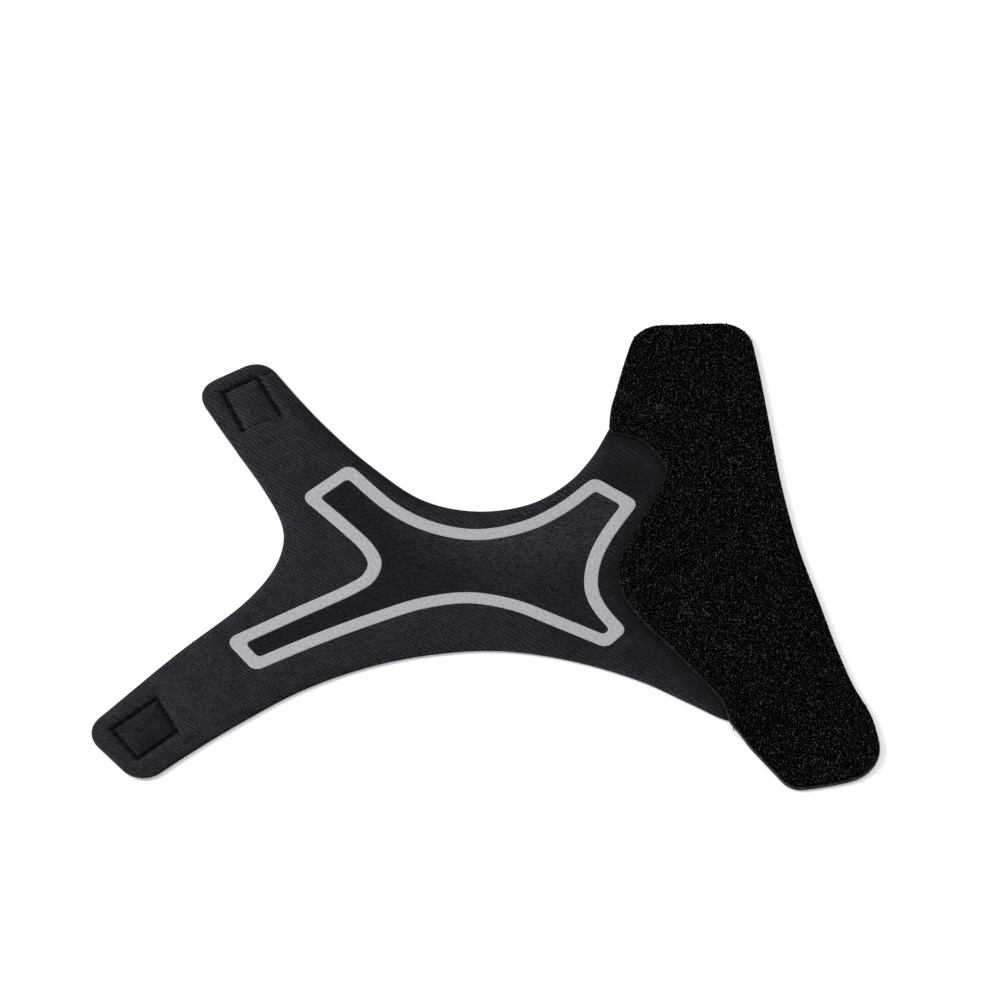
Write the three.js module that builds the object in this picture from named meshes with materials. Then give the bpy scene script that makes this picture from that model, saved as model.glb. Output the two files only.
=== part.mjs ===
// Ankle compression wrap, laid open on a flat surface.
// An X-shaped stretch panel has two tabs at its left. A wing of loop pile is lapped over its right arms.
// Millimetres, +Z up. The wrap rests on Z = 0, and the origin is at the middle of its footprint.

import * as THREE from "three";

// Overall sizes
const wrapLength = 380; // X, from the lower tab to the wing's outer edge
const wrapDepth = 284; // Y, from the wing's foot to its head

// Body panel
const bodyThickness = 2.8;
const bodyRim = 3.2; // width of the rounded edge, seen from above
const upperTabWidth = 39.5;
const lowerTabWidth = 43;
const tabCornerRadius = 12.5;
const hiddenCornerRadius = 4;

// Wing
const wingBaseThickness = 2.2;
const wingRim = 1.6;
const pileThickness = 1.1;
const pileSetback = 0.6; // how far the pile stops short of the base's cut edge
const lapWidth = 12; // how far the body's arms run under the wing
const lapFall = 14; // width of the slope where the wing comes down past the arms
const notchRadius = 3;
const headCornerRadius = 16;
const footInnerRadius = 11;
const footOuterRadius = 20;

// Centre panel and border
const bandWidth = 6.8;
const bandThickness = 0.35;
const bandOuterRadius = 5;
const bandInnerRadius = 2;
const bandBevel = 0.1;
const centreThickness = 0.3;
const centreClearance = 0.2; // between the centre panel and the band

// Hook patches
const hookThickness = 1.3;
const hookLength = 30;
const hookWidth = 24;
const hookCornerRadius = 2.5;
const hookSetback = 24.7; // from the tab's end to the patch's middle
const stitchMargin = 2; // from the patch's edge to the stitched square
const stitchDepth = 0.8;
const stitchWidth = 1.5;
const recessFall = 8; // width of the slope around the raised patch

// Clearances
const seatGap = 0.3; // under a piece that is laid over another
const pileGap = 0.15;
const flatMargin = 4; // how far a raised area stays level beyond what it covers

// Mesh fineness
const stepsPerPlace = 12; // along a smooth line, between two of its places, and along an arc
const gridStep = 9;
const edgeStep = 7;
const edgeTurn = THREE.MathUtils.degToRad(27);

// Tabs: the middle of each tab's end as shares of length and depth, and the way it points
const tabs = [
  { name: "upper", along: -0.338, across: 0.3855, heading: 120, width: upperTabWidth },
  { name: "lower", along: -0.4738, across: -0.4405, heading: 222, width: lowerTabWidth },
];

// Edges, as shares of length and depth
const topEdge = [
  { along: -0.2105, across: 0.273 },
  { along: -0.1447, across: 0.178 },
  { along: -0.079, across: 0.1074 },
  { along: -0.0105, across: 0.0845 },
  { along: 0.058, across: 0.1004 },
  { along: 0.1066, across: 0.1451 },
  { along: 0.1384, across: 0.2007 },
  { along: 0.1605, across: 0.2606 },
];
const leftEdge = [
  { along: -0.396, across: -0.2225 },
  { along: -0.3053, across: -0.1056 },
  { along: -0.271, across: -0.0352 },
  { along: -0.2605, across: 0.0229 },
  { along: -0.2658, across: 0.067 },
  { along: -0.2895, across: 0.1356 },
  { along: -0.342, across: 0.2535 },
];
const bottomEdge = [
  { along: 0.3105, across: -0.36 },
  { along: 0.263, across: -0.3257 },
  { along: 0.1974, across: -0.2764 },
  { along: 0.1053, across: -0.2324 },
  { along: 0.0132, across: -0.213 },
  { along: -0.079, across: -0.2236 },
  { along: -0.158, across: -0.2518 },
  { along: -0.2368, across: -0.2993 },
  { along: -0.3158, across: -0.3697 },
  { along: -0.3684, across: -0.4225 },
];

// The wing's lapped edge over the arms, from its upper notch to its lower one
const seamEdge = [
  { along: 0.1613, across: 0.25, round: notchRadius },
  { along: 0.2037, across: 0.2306 },
  { along: 0.229, across: 0.1891 },
  { along: 0.2353, across: 0.1637 },
  { along: 0.2203, across: 0.1053 },
  { along: 0.1953, across: 0.0349 },
  { along: 0.1734, across: -0.0359 },
  { along: 0.1732, across: -0.0831 },
  { along: 0.1937, across: -0.1426 },
  { along: 0.2355, across: -0.2123 },
  { along: 0.2768, across: -0.281 },
  { along: 0.301, across: -0.3261 },
  { along: 0.3118, across: -0.3732, round: notchRadius },
];
const wingOuterEdge = [
  { along: 0.3868, across: -0.5058, round: footInnerRadius },
  { along: 0.4421, across: -0.493 },
  { along: 0.5076, across: -0.4665, round: footOuterRadius },
  { along: 0.4934, across: -0.3556 },
  { along: 0.471, across: -0.2887 },
  { along: 0.4513, across: -0.2113 },
  { along: 0.429, across: -0.1056 },
  { along: 0.4066, across: 0 },
  { along: 0.3855, across: 0.1408 },
  { along: 0.3718, across: 0.2746 },
  { along: 0.3605, across: 0.3873 },
  { along: 0.3463, across: 0.5003, round: headCornerRadius },
  { along: 0.2, across: 0.4923, round: headCornerRadius },
  { along: 0.1855, across: 0.426 },
  { along: 0.1737, across: 0.3627 },
  { along: 0.1637, across: 0.2958 },
];

// The middle line of the border band
const bandLine = [
  { along: -0.2268, across: 0.1113, corner: true },
  { along: -0.1776, across: 0.0423 },
  { along: -0.1526, across: 0.0028 },
  { along: -0.1421, across: -0.0317 },
  { along: -0.1505, across: -0.0634 },
  { along: -0.1697, across: -0.0842 },
  { along: -0.2447, across: -0.1408 },
  { along: -0.32, across: -0.1979, corner: true },
  { along: -0.2921, across: -0.2458, corner: true },
  { along: -0.2105, across: -0.1898 },
  { along: -0.1316, across: -0.1423 },
  { along: -0.0789, across: -0.1162 },
  { along: -0.0197, across: -0.1049 },
  { along: 0.0395, across: -0.1215 },
  { along: 0.0921, across: -0.1553 },
  { along: 0.1542, across: -0.1972, corner: true },
  { along: 0.1711, across: -0.1732, corner: true },
  { along: 0.1482, across: -0.1285 },
  { along: 0.1384, across: -0.0951 },
  { along: 0.1368, across: -0.0616 },
  { along: 0.1429, across: -0.0176 },
  { along: 0.1579, across: 0.0299 },
  { along: 0.1879, across: 0.0972, corner: true },
  { along: 0.1426, across: 0.1401, corner: true },
  { along: 0.1, across: 0.0873 },
  { along: 0.0526, across: 0.0489 },
  { along: -0.0105, across: 0.0303 },
  { along: -0.0684, across: 0.0461 },
  { along: -0.1184, across: 0.0856 },
  { along: -0.1774, across: 0.1676, corner: true },
];

// Sections of an edge, from the underside round to the top: shares of the rim's width and of the thickness
const softRim = [
  { inset: 0.5, height: 0 },
  { inset: 0.1, height: 0.2 },
  { inset: 0, height: 0.48 },
  { inset: 0.1, height: 0.76 },
  { inset: 0.42, height: 0.95 },
  { inset: 1, height: 1 },
];
const cutRim = [
  { inset: 0.25, height: 0 },
  { inset: 0, height: 0.15 },
  { inset: 0, height: 0.85 },
  { inset: 0.25, height: 1 },
  { inset: 1, height: 1 },
];

function place(row) {
  const point = new THREE.Vector2(row.along * wrapLength, row.across * wrapDepth);
  return { point, round: row.round ?? 0 };
}

function smoothStep(value) {
  return THREE.MathUtils.smoothstep(value, 0, 1);
}

// A smooth line through the points of one stretch, from corner to corner
function smoothLine(points) {
  if (points.length === 2) return points;
  const curve = new THREE.CatmullRomCurve3(
    points.map((p) => new THREE.Vector3(p.x, p.y, 0)),
    false,
    "centripetal",
  );
  const dense = curve.getPoints((points.length - 1) * stepsPerPlace);
  return dense.map((p) => new THREE.Vector2(p.x, p.y));
}

function lineLength(line) {
  return line.slice(1).reduce((sum, p, i) => sum + p.distanceTo(line[i]), 0);
}

// The line without its first stretch of the given length
function trimStart(line, cut) {
  let left = cut;
  for (let i = 1; i < line.length; i += 1) {
    const step = line[i].distanceTo(line[i - 1]);
    if (step > left) {
      const start = line[i - 1].clone().lerp(line[i], left / step);
      return [start, ...line.slice(i)];
    }
    left -= step;
  }
  return line.slice(-1);
}

function trimEnd(line, cut) {
  return trimStart([...line].reverse(), cut).reverse();
}

// One stretch moved to its left by a distance
function shiftLine(line, distance) {
  const last = line.length - 1;
  return line.map((p, i) => {
    const run = line[Math.min(i + 1, last)].clone().sub(line[Math.max(i - 1, 0)]).normalize();
    return new THREE.Vector2(p.x - run.y * distance, p.y + run.x * distance);
  });
}

// A line made longer at its end, or shorter where the length is negative
function growEnd(line, length) {
  if (length <= 0) return trimEnd(line, -length);
  const run = line.at(-1).clone().sub(line.at(-2)).normalize();
  return [...line, line.at(-1).clone().addScaledVector(run, length)];
}

function growStart(line, length) {
  return growEnd([...line].reverse(), length).reverse();
}

// How far a line turns to its left from the end of one stretch to the start of the next
function turnBetween(line, next) {
  const run = line.at(-1).clone().sub(line.at(-2));
  const nextRun = next[1].clone().sub(next[0]);
  return Math.atan2(run.cross(nextRun), run.dot(nextRun));
}

// A closed line through places, moved to its left by a distance, with an arc at each corner
function closedLine(places, distance = 0) {
  const first = places.findIndex((p) => p.round > 0);
  const turned = [...places.slice(first), ...places.slice(0, first + 1)];
  const corners = turned.map((p, i) => (p.round > 0 ? i : -1)).filter((i) => i >= 0);
  const count = corners.length - 1;
  const drawn = corners.slice(1).map((end, i) => smoothLine(
    turned.slice(corners[i], end + 1).map((p) => p.point),
  ));
  const turns = drawn.map((line, i) => turnBetween(line, drawn[(i + 1) % count]));
  const grow = turns.map((turn) => -distance * Math.tan(turn / 2));
  const stretches = drawn.map((line, i) => {
    const before = (i + count - 1) % count;
    return growStart(growEnd(shiftLine(line, distance), grow[i]), grow[before]);
  });
  const arcs = stretches.map((line, i) => {
    const next = stretches[(i + 1) % count];
    const turn = Math.abs(turns[i]);
    const room = 0.45 * Math.min(lineLength(line), lineLength(next));
    const cut = Math.min(turned[corners[i + 1]].round * Math.tan(turn / 2), room);
    const start = trimEnd(line, cut).at(-1);
    const end = trimStart(next, cut)[0];
    const pull = (4 / 3) * (Math.tan(turn / 4) / Math.tan(turn / 2));
    const bend = new THREE.CubicBezierCurve(
      start,
      start.clone().lerp(line.at(-1), pull),
      end.clone().lerp(next[0], pull),
      end,
    );
    return { cut, points: bend.getPoints(stepsPerPlace).slice(1, -1) };
  });
  const result = stretches.flatMap((line, i) => {
    const before = (i + count - 1) % count;
    return [...trimEnd(trimStart(line, arcs[before].cut), arcs[i].cut), ...arcs[i].points];
  });
  return evenLine(result);
}

// The same closed line with points spaced by length on its straight stretches and by turn on its bends
function evenLine(line) {
  const count = line.length;
  const cost = [0];
  for (let i = 1; i <= count; i += 1) {
    const before = line[i - 1];
    const here = line[i % count];
    const after = line[(i + 1) % count];
    const angleIn = Math.atan2(here.y - before.y, here.x - before.x);
    const angleOut = Math.atan2(after.y - here.y, after.x - here.x);
    const turn = Math.abs(Math.atan2(Math.sin(angleOut - angleIn), Math.cos(angleOut - angleIn)));
    cost.push(cost[i - 1] + here.distanceTo(before) / edgeStep + turn / edgeTurn);
  }
  const total = Math.ceil(cost[count]);
  const result = [];
  let at = 0;
  for (let k = 0; k < total; k += 1) {
    const wanted = (k * cost[count]) / total;
    while (cost[at + 1] <= wanted) at += 1;
    const share = (wanted - cost[at]) / (cost[at + 1] - cost[at]);
    result.push(line[at].clone().lerp(line[(at + 1) % count], share));
  }
  return result;
}

function signedArea(line) {
  return line.reduce((sum, p, i) => sum + p.cross(line[(i + 1) % line.length]) / 2, 0);
}

// A closed line moved inwards by a distance, or outwards where it is negative
function insetLine(line, distance) {
  const side = Math.sign(signedArea(line));
  return line.map((p, i) => {
    const before = line[(i + line.length - 1) % line.length];
    const after = line[(i + 1) % line.length];
    const normalIn = p.clone().sub(before).normalize();
    const normalOut = after.clone().sub(p).normalize();
    const normal = normalIn.add(normalOut).normalize();
    return new THREE.Vector2(p.x - side * normal.y * distance, p.y + side * normal.x * distance);
  });
}

function isInside(x, y, line) {
  let inside = false;
  for (let i = 0, j = line.length - 1; i < line.length; j = i, i += 1) {
    const a = line[i];
    const b = line[j];
    if (a.y > y !== b.y > y && x < ((b.x - a.x) * (y - a.y)) / (b.y - a.y) + a.x) inside = !inside;
  }
  return inside;
}

function distanceToLine(x, y, line) {
  let best = Infinity;
  for (let i = 0, j = line.length - 1; i < line.length; j = i, i += 1) {
    const a = line[j];
    const b = line[i];
    const dx = b.x - a.x;
    const dy = b.y - a.y;
    const share = THREE.MathUtils.clamp(((x - a.x) * dx + (y - a.y) * dy) / (dx * dx + dy * dy), 0, 1);
    best = Math.min(best, Math.hypot(x - a.x - share * dx, y - a.y - share * dy));
  }
  return best;
}

function distanceOutside(x, y, line) {
  return isInside(x, y, line) ? 0 : distanceToLine(x, y, line);
}

// Delaunay triangles of a set of points, kept where they lie inside the closed line
function fillTriangles(points, line) {
  const far = 10 * (wrapLength + wrapDepth);
  const all = [
    ...points,
    new THREE.Vector2(-far, -far),
    new THREE.Vector2(far, -far),
    new THREE.Vector2(0, far),
  ];
  const circle = (a, b, c) => {
    const A = all[a];
    const B = all[b];
    const C = all[c];
    const bx = B.x - A.x;
    const by = B.y - A.y;
    const cx = C.x - A.x;
    const cy = C.y - A.y;
    const d = 2 * (bx * cy - by * cx);
    const b2 = bx * bx + by * by;
    const c2 = cx * cx + cy * cy;
    const ux = (cy * b2 - by * c2) / d;
    const uy = (bx * c2 - cx * b2) / d;
    return { a, b, c, x: A.x + ux, y: A.y + uy, r2: ux * ux + uy * uy };
  };
  const n = points.length;
  let triangles = [circle(n, n + 1, n + 2)];
  points.forEach((p, index) => {
    const open = new Map();
    triangles = triangles.filter((t) => {
      const dx = p.x - t.x;
      const dy = p.y - t.y;
      if (dx * dx + dy * dy >= t.r2) return true;
      [[t.a, t.b], [t.b, t.c], [t.c, t.a]].forEach(([from, to]) => {
        const back = `${to},${from}`;
        if (open.has(back)) open.delete(back);
        else open.set(`${from},${to}`, [from, to]);
      });
      return false;
    });
    open.forEach(([from, to]) => triangles.push(circle(from, to, index)));
  });
  const inside = triangles.filter(({ a, b, c }) => {
    if (Math.max(a, b, c) >= n) return false;
    const x = (all[a].x + all[b].x + all[c].x) / 3;
    const y = (all[a].y + all[b].y + all[c].y) / 3;
    return isInside(x, y, line);
  });
  return inside.map(({ a, b, c }) => [a, b, c]);
}

// Inner points of a face: feature points first, then a triangular grid between them and the edge
function innerPoints(line, step, features) {
  const xs = line.map((p) => p.x);
  const ys = line.map((p) => p.y);
  const keepOff = 0.62 * step;
  const inner = features.filter(
    (p) => isInside(p.x, p.y, line) && distanceToLine(p.x, p.y, line) > 0.5 * edgeStep,
  );
  const kept = inner.length;
  const rowStep = (step * Math.sqrt(3)) / 2;
  const low = Math.min(...ys);
  const rows = Math.ceil((Math.max(...ys) - low) / rowStep);
  for (let row = 0; row <= rows; row += 1) {
    const y = low + row * rowStep;
    const start = Math.min(...xs) + (row % 2) * step * 0.5;
    for (let x = start; x < Math.max(...xs); x += step) {
      const free = inner.slice(0, kept).every((p) => Math.hypot(p.x - x, p.y - y) > keepOff);
      if (free && isInside(x, y, line) && distanceToLine(x, y, line) > keepOff) {
        inner.push(new THREE.Vector2(x, y));
      }
    }
  }
  return inner;
}

// A closed panel between two height functions, with a shaped rim around its outline
function panelGeometry({ outline, rim, rimWidth, bottom, top, features }) {
  const line = signedArea(outline) > 0 ? outline : [...outline].reverse();
  const count = line.length;
  const rings = rim.map(({ inset, height }) => ({ line: insetLine(line, inset * rimWidth), height }));
  const positions = [];
  const indices = [];
  const put = (p, height) => {
    const low = bottom(p.x, p.y);
    positions.push(p.x, p.y, low + height * (top(p.x, p.y) - low));
  };
  rings.forEach((ring) => ring.line.forEach((p) => put(p, ring.height)));
  for (let r = 0; r + 1 < rings.length; r += 1) {
    for (let i = 0; i < count; i += 1) {
      const a = r * count + i;
      const b = r * count + ((i + 1) % count);
      indices.push(a, b, b + count, a, b + count, a + count);
    }
  }
  const cap = (ring, firstIndex, height, flip) => {
    const inner = innerPoints(ring.line, gridStep, features);
    const start = positions.length / 3;
    inner.forEach((p) => put(p, height));
    const toIndex = (i) => (i < count ? firstIndex + i : start + i - count);
    fillTriangles([...ring.line, ...inner], ring.line).forEach(([a, b, c]) => {
      const corners = flip ? [c, b, a] : [a, b, c];
      indices.push(...corners.map(toIndex));
    });
  };
  cap(rings[0], 0, 0, true);
  cap(rings.at(-1), (rings.length - 1) * count, 1, false);
  const geometry = new THREE.BufferGeometry();
  geometry.setAttribute("position", new THREE.Float32BufferAttribute(positions, 3));
  geometry.setIndex(indices);
  geometry.computeVertexNormals();
  return geometry;
}

// A thin flat piece with bevelled edges between an outline and its holes, lying on a height
function thinGeometry(outline, holes, thickness, z) {
  const shape = new THREE.Shape(outline);
  shape.holes = holes.map((hole) => new THREE.Path(hole));
  const geometry = new THREE.ExtrudeGeometry(shape, {
    depth: thickness - 2 * bandBevel,
    bevelThickness: bandBevel,
    bevelSize: bandBevel,
    bevelOffset: -bandBevel,
    bevelSegments: 1,
  });
  return geometry.translate(0, 0, z + bandBevel);
}

// Each tab's end corners, and the patch under it
function tabPlaces(tab) {
  const end = place(tab).point;
  const angle = THREE.MathUtils.degToRad(tab.heading);
  const out = new THREE.Vector2(Math.cos(angle), Math.sin(angle));
  const side = new THREE.Vector2(-out.y, out.x);
  const corner = (sign) => ({
    point: end.clone().addScaledVector(side, (sign * tab.width) / 2),
    round: tabCornerRadius,
  });
  const middle = end.clone().addScaledVector(out, -hookSetback);
  return { ...tab, angle, out, side, left: corner(1), right: corner(-1), middle };
}

// A point in a patch's own frame: u along its tab, v across it
function patchFrame(tab, x, y) {
  const offset = new THREE.Vector2(x - tab.middle.x, y - tab.middle.y);
  return { u: offset.dot(tab.out), v: offset.dot(tab.side) };
}

// How far a point lies outside a rectangle about the patch's middle, negative inside
function outsideRectangle(tab, x, y, length, width) {
  const { u, v } = patchFrame(tab, x, y);
  const du = Math.abs(u) - length / 2;
  const dv = Math.abs(v) - width / 2;
  return Math.hypot(Math.max(du, 0), Math.max(dv, 0)) + Math.min(Math.max(du, dv), 0);
}

// Points along a rectangle about the patch's middle
function rectanglePoints(tab, length, width, step) {
  const alongCount = Math.round(length / step);
  const acrossCount = Math.round(width / step);
  const points = [];
  const put = (u, v) => {
    points.push(tab.middle.clone().addScaledVector(tab.out, u).addScaledVector(tab.side, v));
  };
  for (let i = 0; i < alongCount; i += 1) {
    const u = -length / 2 + (length * i) / alongCount;
    put(u, -width / 2);
    put(-u, width / 2);
  }
  for (let i = 0; i < acrossCount; i += 1) {
    const v = -width / 2 + (width * i) / acrossCount;
    put(length / 2, v);
    put(-length / 2, -v);
  }
  return points;
}

const [upperTab, lowerTab] = tabs.map(tabPlaces);
const stitchLength = hookLength - 2 * stitchMargin;
const stitchAcross = hookWidth - 2 * stitchMargin;

function patchLift(x, y) {
  return [upperTab, lowerTab].reduce((sum, tab) => {
    const away = outsideRectangle(tab, x, y, hookLength, hookWidth) - flatMargin;
    return sum + (hookThickness + seatGap) * (1 - smoothStep(away / recessFall));
  }, 0);
}

function stitchDip(x, y) {
  return [upperTab, lowerTab].reduce((sum, tab) => {
    const away = Math.abs(outsideRectangle(tab, x, y, stitchLength, stitchAcross));
    return sum + stitchDepth * (1 - smoothStep(away / stitchWidth));
  }, 0);
}

// The body panel
const seamPlaces = seamEdge.map(place);
const seamLine = smoothLine(seamPlaces.map((p) => p.point));

// The arms' hidden edge: the seam moved under the wing by the lap
function hiddenEdge() {
  const points = shiftLine(seamLine, lapWidth).filter((_, i) => i % stepsPerPlace === 0);
  return points.map((point, i) => {
    const isEnd = i === 0 || i === points.length - 1;
    return { point, round: isEnd ? hiddenCornerRadius : 0 };
  });
}

const bodyOutline = closedLine([
  upperTab.left,
  upperTab.right,
  ...topEdge.map(place),
  ...hiddenEdge(),
  ...bottomEdge.map(place),
  lowerTab.left,
  lowerTab.right,
  ...leftEdge.map(place),
]);

function makeBodyPanel() {
  const ring = (grow) => [upperTab, lowerTab].flatMap((tab) =>
    rectanglePoints(tab, stitchLength + 2 * grow, stitchAcross + 2 * grow, 4),
  );
  return panelGeometry({
    outline: bodyOutline,
    rim: softRim,
    rimWidth: bodyRim,
    bottom: patchLift,
    top: (x, y) => bodyThickness + patchLift(x, y) - stitchDip(x, y),
    features: [...ring(0), ...ring(stitchWidth), ...ring(-stitchWidth)],
  });
}

// The wing
const wingOutline = closedLine([...seamPlaces, ...wingOuterEdge.map(place)]);

function wingUnderside(x, y) {
  const away = distanceOutside(x, y, bodyOutline) - flatMargin;
  return (bodyThickness + seatGap) * (1 - smoothStep(away / lapFall));
}

// Rows of points along the slope, so that the grid follows it
function slopePoints() {
  return [0.5 * flatMargin, flatMargin + 0.5 * lapFall, flatMargin + lapFall].flatMap((away) =>
    insetLine(bodyOutline, -away),
  );
}

function makeWingBase() {
  return panelGeometry({
    outline: wingOutline,
    rim: cutRim,
    rimWidth: wingRim,
    bottom: wingUnderside,
    top: (x, y) => wingUnderside(x, y) + wingBaseThickness,
    features: slopePoints(),
  });
}

function makeWingLoopFace() {
  const underPile = (x, y) => wingUnderside(x, y) + wingBaseThickness + pileGap;
  return panelGeometry({
    outline: wingOutline,
    rim: [
      { inset: 1, height: 0 },
      { inset: pileSetback / wingRim, height: 0 },
      { inset: pileSetback / wingRim, height: 0.6 },
      { inset: 1, height: 1 },
    ],
    rimWidth: wingRim,
    bottom: underPile,
    top: (x, y) => underPile(x, y) + pileThickness,
    features: slopePoints(),
  });
}

// The centre panel and its border, bonded on the body's flat top
function bandEdge(distance, radius) {
  const places = bandLine.map((row) => ({ point: place(row).point, round: row.corner ? radius : 0 }));
  return closedLine(places, distance);
}

function makeBorder() {
  const outer = bandEdge(-bandWidth / 2, bandOuterRadius);
  const inner = bandEdge(bandWidth / 2, bandInnerRadius);
  return thinGeometry(outer, [inner], bandThickness, bodyThickness);
}

function makeCentrePanel() {
  const outline = bandEdge(bandWidth / 2 + centreClearance, bandInnerRadius);
  return thinGeometry(outline, [], centreThickness, bodyThickness);
}

// A hook patch: a plate with rounded corners, flat on the surface that the wrap lies on
function makeHookPatch(tab) {
  const halfLength = hookLength / 2;
  const halfWidth = hookWidth / 2;
  const radius = Math.min(hookCornerRadius, halfLength, halfWidth);
  const shape = new THREE.Shape();
  shape.moveTo(-halfLength + radius, -halfWidth);
  shape.lineTo(halfLength - radius, -halfWidth);
  shape.absarc(halfLength - radius, -halfWidth + radius, radius, -Math.PI / 2, 0, false);
  shape.lineTo(halfLength, halfWidth - radius);
  shape.absarc(halfLength - radius, halfWidth - radius, radius, 0, Math.PI / 2, false);
  shape.lineTo(-halfLength + radius, halfWidth);
  shape.absarc(-halfLength + radius, halfWidth - radius, radius, Math.PI / 2, Math.PI, false);
  shape.lineTo(-halfLength, -halfWidth + radius);
  shape.absarc(-halfLength + radius, -halfWidth + radius, radius, Math.PI, 1.5 * Math.PI, false);
  return new THREE.ExtrudeGeometry(shape, {
    depth: hookThickness,
    bevelEnabled: false,
    curveSegments: 5,
  });
}

function namedMesh(name, geometry, colour, roughness) {
  const material = new THREE.MeshStandardMaterial({ color: colour, roughness, metalness: 0 });
  const mesh = new THREE.Mesh(geometry, material);
  mesh.name = name;
  return mesh;
}

const wrap = new THREE.Group();
wrap.add(namedMesh("body_panel", makeBodyPanel(), 0x2a282d, 0.85));
wrap.add(namedMesh("wing_base", makeWingBase(), 0x4a4a4e, 0.9));
wrap.add(namedMesh("wing_loop_face", makeWingLoopFace(), 0x0e0e10, 0.95));
wrap.add(namedMesh("centre_panel", makeCentrePanel(), 0x232227, 0.75));
wrap.add(namedMesh("reflective_border", makeBorder(), 0xb0afb5, 0.5));
[upperTab, lowerTab].forEach((tab) => {
  const patch = namedMesh(`hook_patch_${tab.name}`, makeHookPatch(tab), 0x18181a, 0.8);
  patch.position.set(tab.middle.x, tab.middle.y, 0);
  patch.rotation.z = tab.angle;
  wrap.add(patch);
});

// The footprint's middle is brought to the origin
const footprint = new THREE.Box3().setFromObject(wrap);
const middle = footprint.getCenter(new THREE.Vector3());
wrap.position.set(-middle.x, -middle.y, 0);

export default wrap;
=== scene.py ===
# %% [markdown]
# # A flat ankle wrap, dressed from its CAD frame
# The wrap is an open X of stretch knit over thin foam. Its two left arms end in tabs with hook patches
# underneath, and its right arms are sewn under a wing of dark loop pile. A pale grey film band runs
# around a finer centre panel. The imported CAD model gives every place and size; this lesson makes the look.

# %% Load the frame
import math

import bmesh
import bpy
import numpy as np
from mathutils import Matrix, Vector
from mathutils.geometry import delaunay_2d_cdt


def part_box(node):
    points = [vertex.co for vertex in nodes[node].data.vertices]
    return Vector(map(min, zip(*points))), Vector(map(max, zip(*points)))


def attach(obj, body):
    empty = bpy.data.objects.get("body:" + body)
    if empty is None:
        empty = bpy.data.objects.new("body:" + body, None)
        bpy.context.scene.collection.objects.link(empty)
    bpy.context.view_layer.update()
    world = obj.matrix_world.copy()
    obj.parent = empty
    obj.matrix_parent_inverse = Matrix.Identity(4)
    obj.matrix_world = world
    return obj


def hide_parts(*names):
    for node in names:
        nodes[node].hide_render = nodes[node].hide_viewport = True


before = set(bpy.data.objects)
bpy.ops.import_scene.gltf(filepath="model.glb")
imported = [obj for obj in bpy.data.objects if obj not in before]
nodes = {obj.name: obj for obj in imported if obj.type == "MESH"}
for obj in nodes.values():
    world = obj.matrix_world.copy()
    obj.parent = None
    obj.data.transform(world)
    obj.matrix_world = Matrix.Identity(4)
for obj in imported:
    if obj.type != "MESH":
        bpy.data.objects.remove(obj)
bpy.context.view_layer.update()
scene = bpy.context.scene
bpy.ops.object.select_all(action="DESELECT")
print("CAD nodes:", ", ".join(sorted(nodes)))


# %% [markdown]
# ## Picking pieces up
# Operators act on whatever is selected, so a small helper deselects everything and makes one object
# active before each step. Heights and outlines are worked out in millimetres, which are easier to read,
# and become metres when a mesh is made.

# %% Selecting one piece, and making one from points
MM = 0.001


def hold(piece):
    bpy.ops.object.select_all(action="DESELECT")
    piece.select_set(True)
    bpy.context.view_layer.objects.active = piece


def make_piece(name, points, faces):
    mesh = bpy.data.meshes.new(name)
    mesh.from_pydata((np.asarray(points, float) * MM).tolist(), [], np.asarray(faces).tolist())
    mesh.update()
    piece = bpy.data.objects.new(name, mesh)
    scene.collection.objects.link(piece)
    hold(piece)
    return piece


def places_of(piece):
    flat = np.empty(len(piece.data.vertices) * 3, np.float32)
    piece.data.vertices.foreach_get("co", flat)
    return flat.reshape(-1, 3).astype(float) / MM


def set_places(piece, points):
    piece.data.vertices.foreach_set("co", (np.asarray(points) * MM).astype(np.float32).ravel())
    piece.data.update()


def paint(piece, name, values):
    layer = piece.data.attributes.new(name, "FLOAT", "POINT")
    layer.data.foreach_set("value", np.asarray(values, np.float32))


print("lengths are worked out in mm, and one mm is", MM, "m")


# %% [markdown]
# ## Reading the cut outlines
# Each sheet was cut flat, so its outline is all that is needed from the CAD node. Seen from above, the
# outline runs along the edges between a face that looks up and one that looks down. A spline through
# those corners rounds them again, because a CAD corner is only a few straight steps.

# %% Outline of a node, rounded and evenly stepped
def outlines_of(node):
    form = bmesh.new()
    form.from_mesh(nodes[node].data)
    bmesh.ops.remove_doubles(form, verts=form.verts, dist=1e-6)
    form.normal_update()
    low = min(v.co.z for v in form.verts) + 0.00001
    next_to = {}
    for edge in form.edges:
        looks_up = [face.normal.z > 1e-4 for face in edge.link_faces]
        on_floor = max(v.co.z for v in edge.verts) < low
        if len(looks_up) == 2 and looks_up[0] != looks_up[1] and not on_floor:
            a, b = edge.verts
            next_to.setdefault(a, []).append(b)
            next_to.setdefault(b, []).append(a)
    loops, seen = [], set()
    for start in sorted((v for v in next_to if len(next_to[v]) == 2), key=lambda v: v.index):
        if start in seen:
            continue
        loop, here = [], start
        while here is not None:
            seen.add(here)
            loop.append((here.co.x / MM, here.co.y / MM))
            here = next((v for v in next_to[here] if v not in seen and len(next_to[v]) == 2), None)
        if len(loop) > 20:
            loops.append(np.array(loop))
    form.free()
    return sorted(loops, key=lambda loop: -abs(area_of(loop)))


def area_of(loop):
    x, y = loop.T
    return 0.5 * float(np.sum(x * np.roll(y, -1) - np.roll(x, -1) * y))


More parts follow.
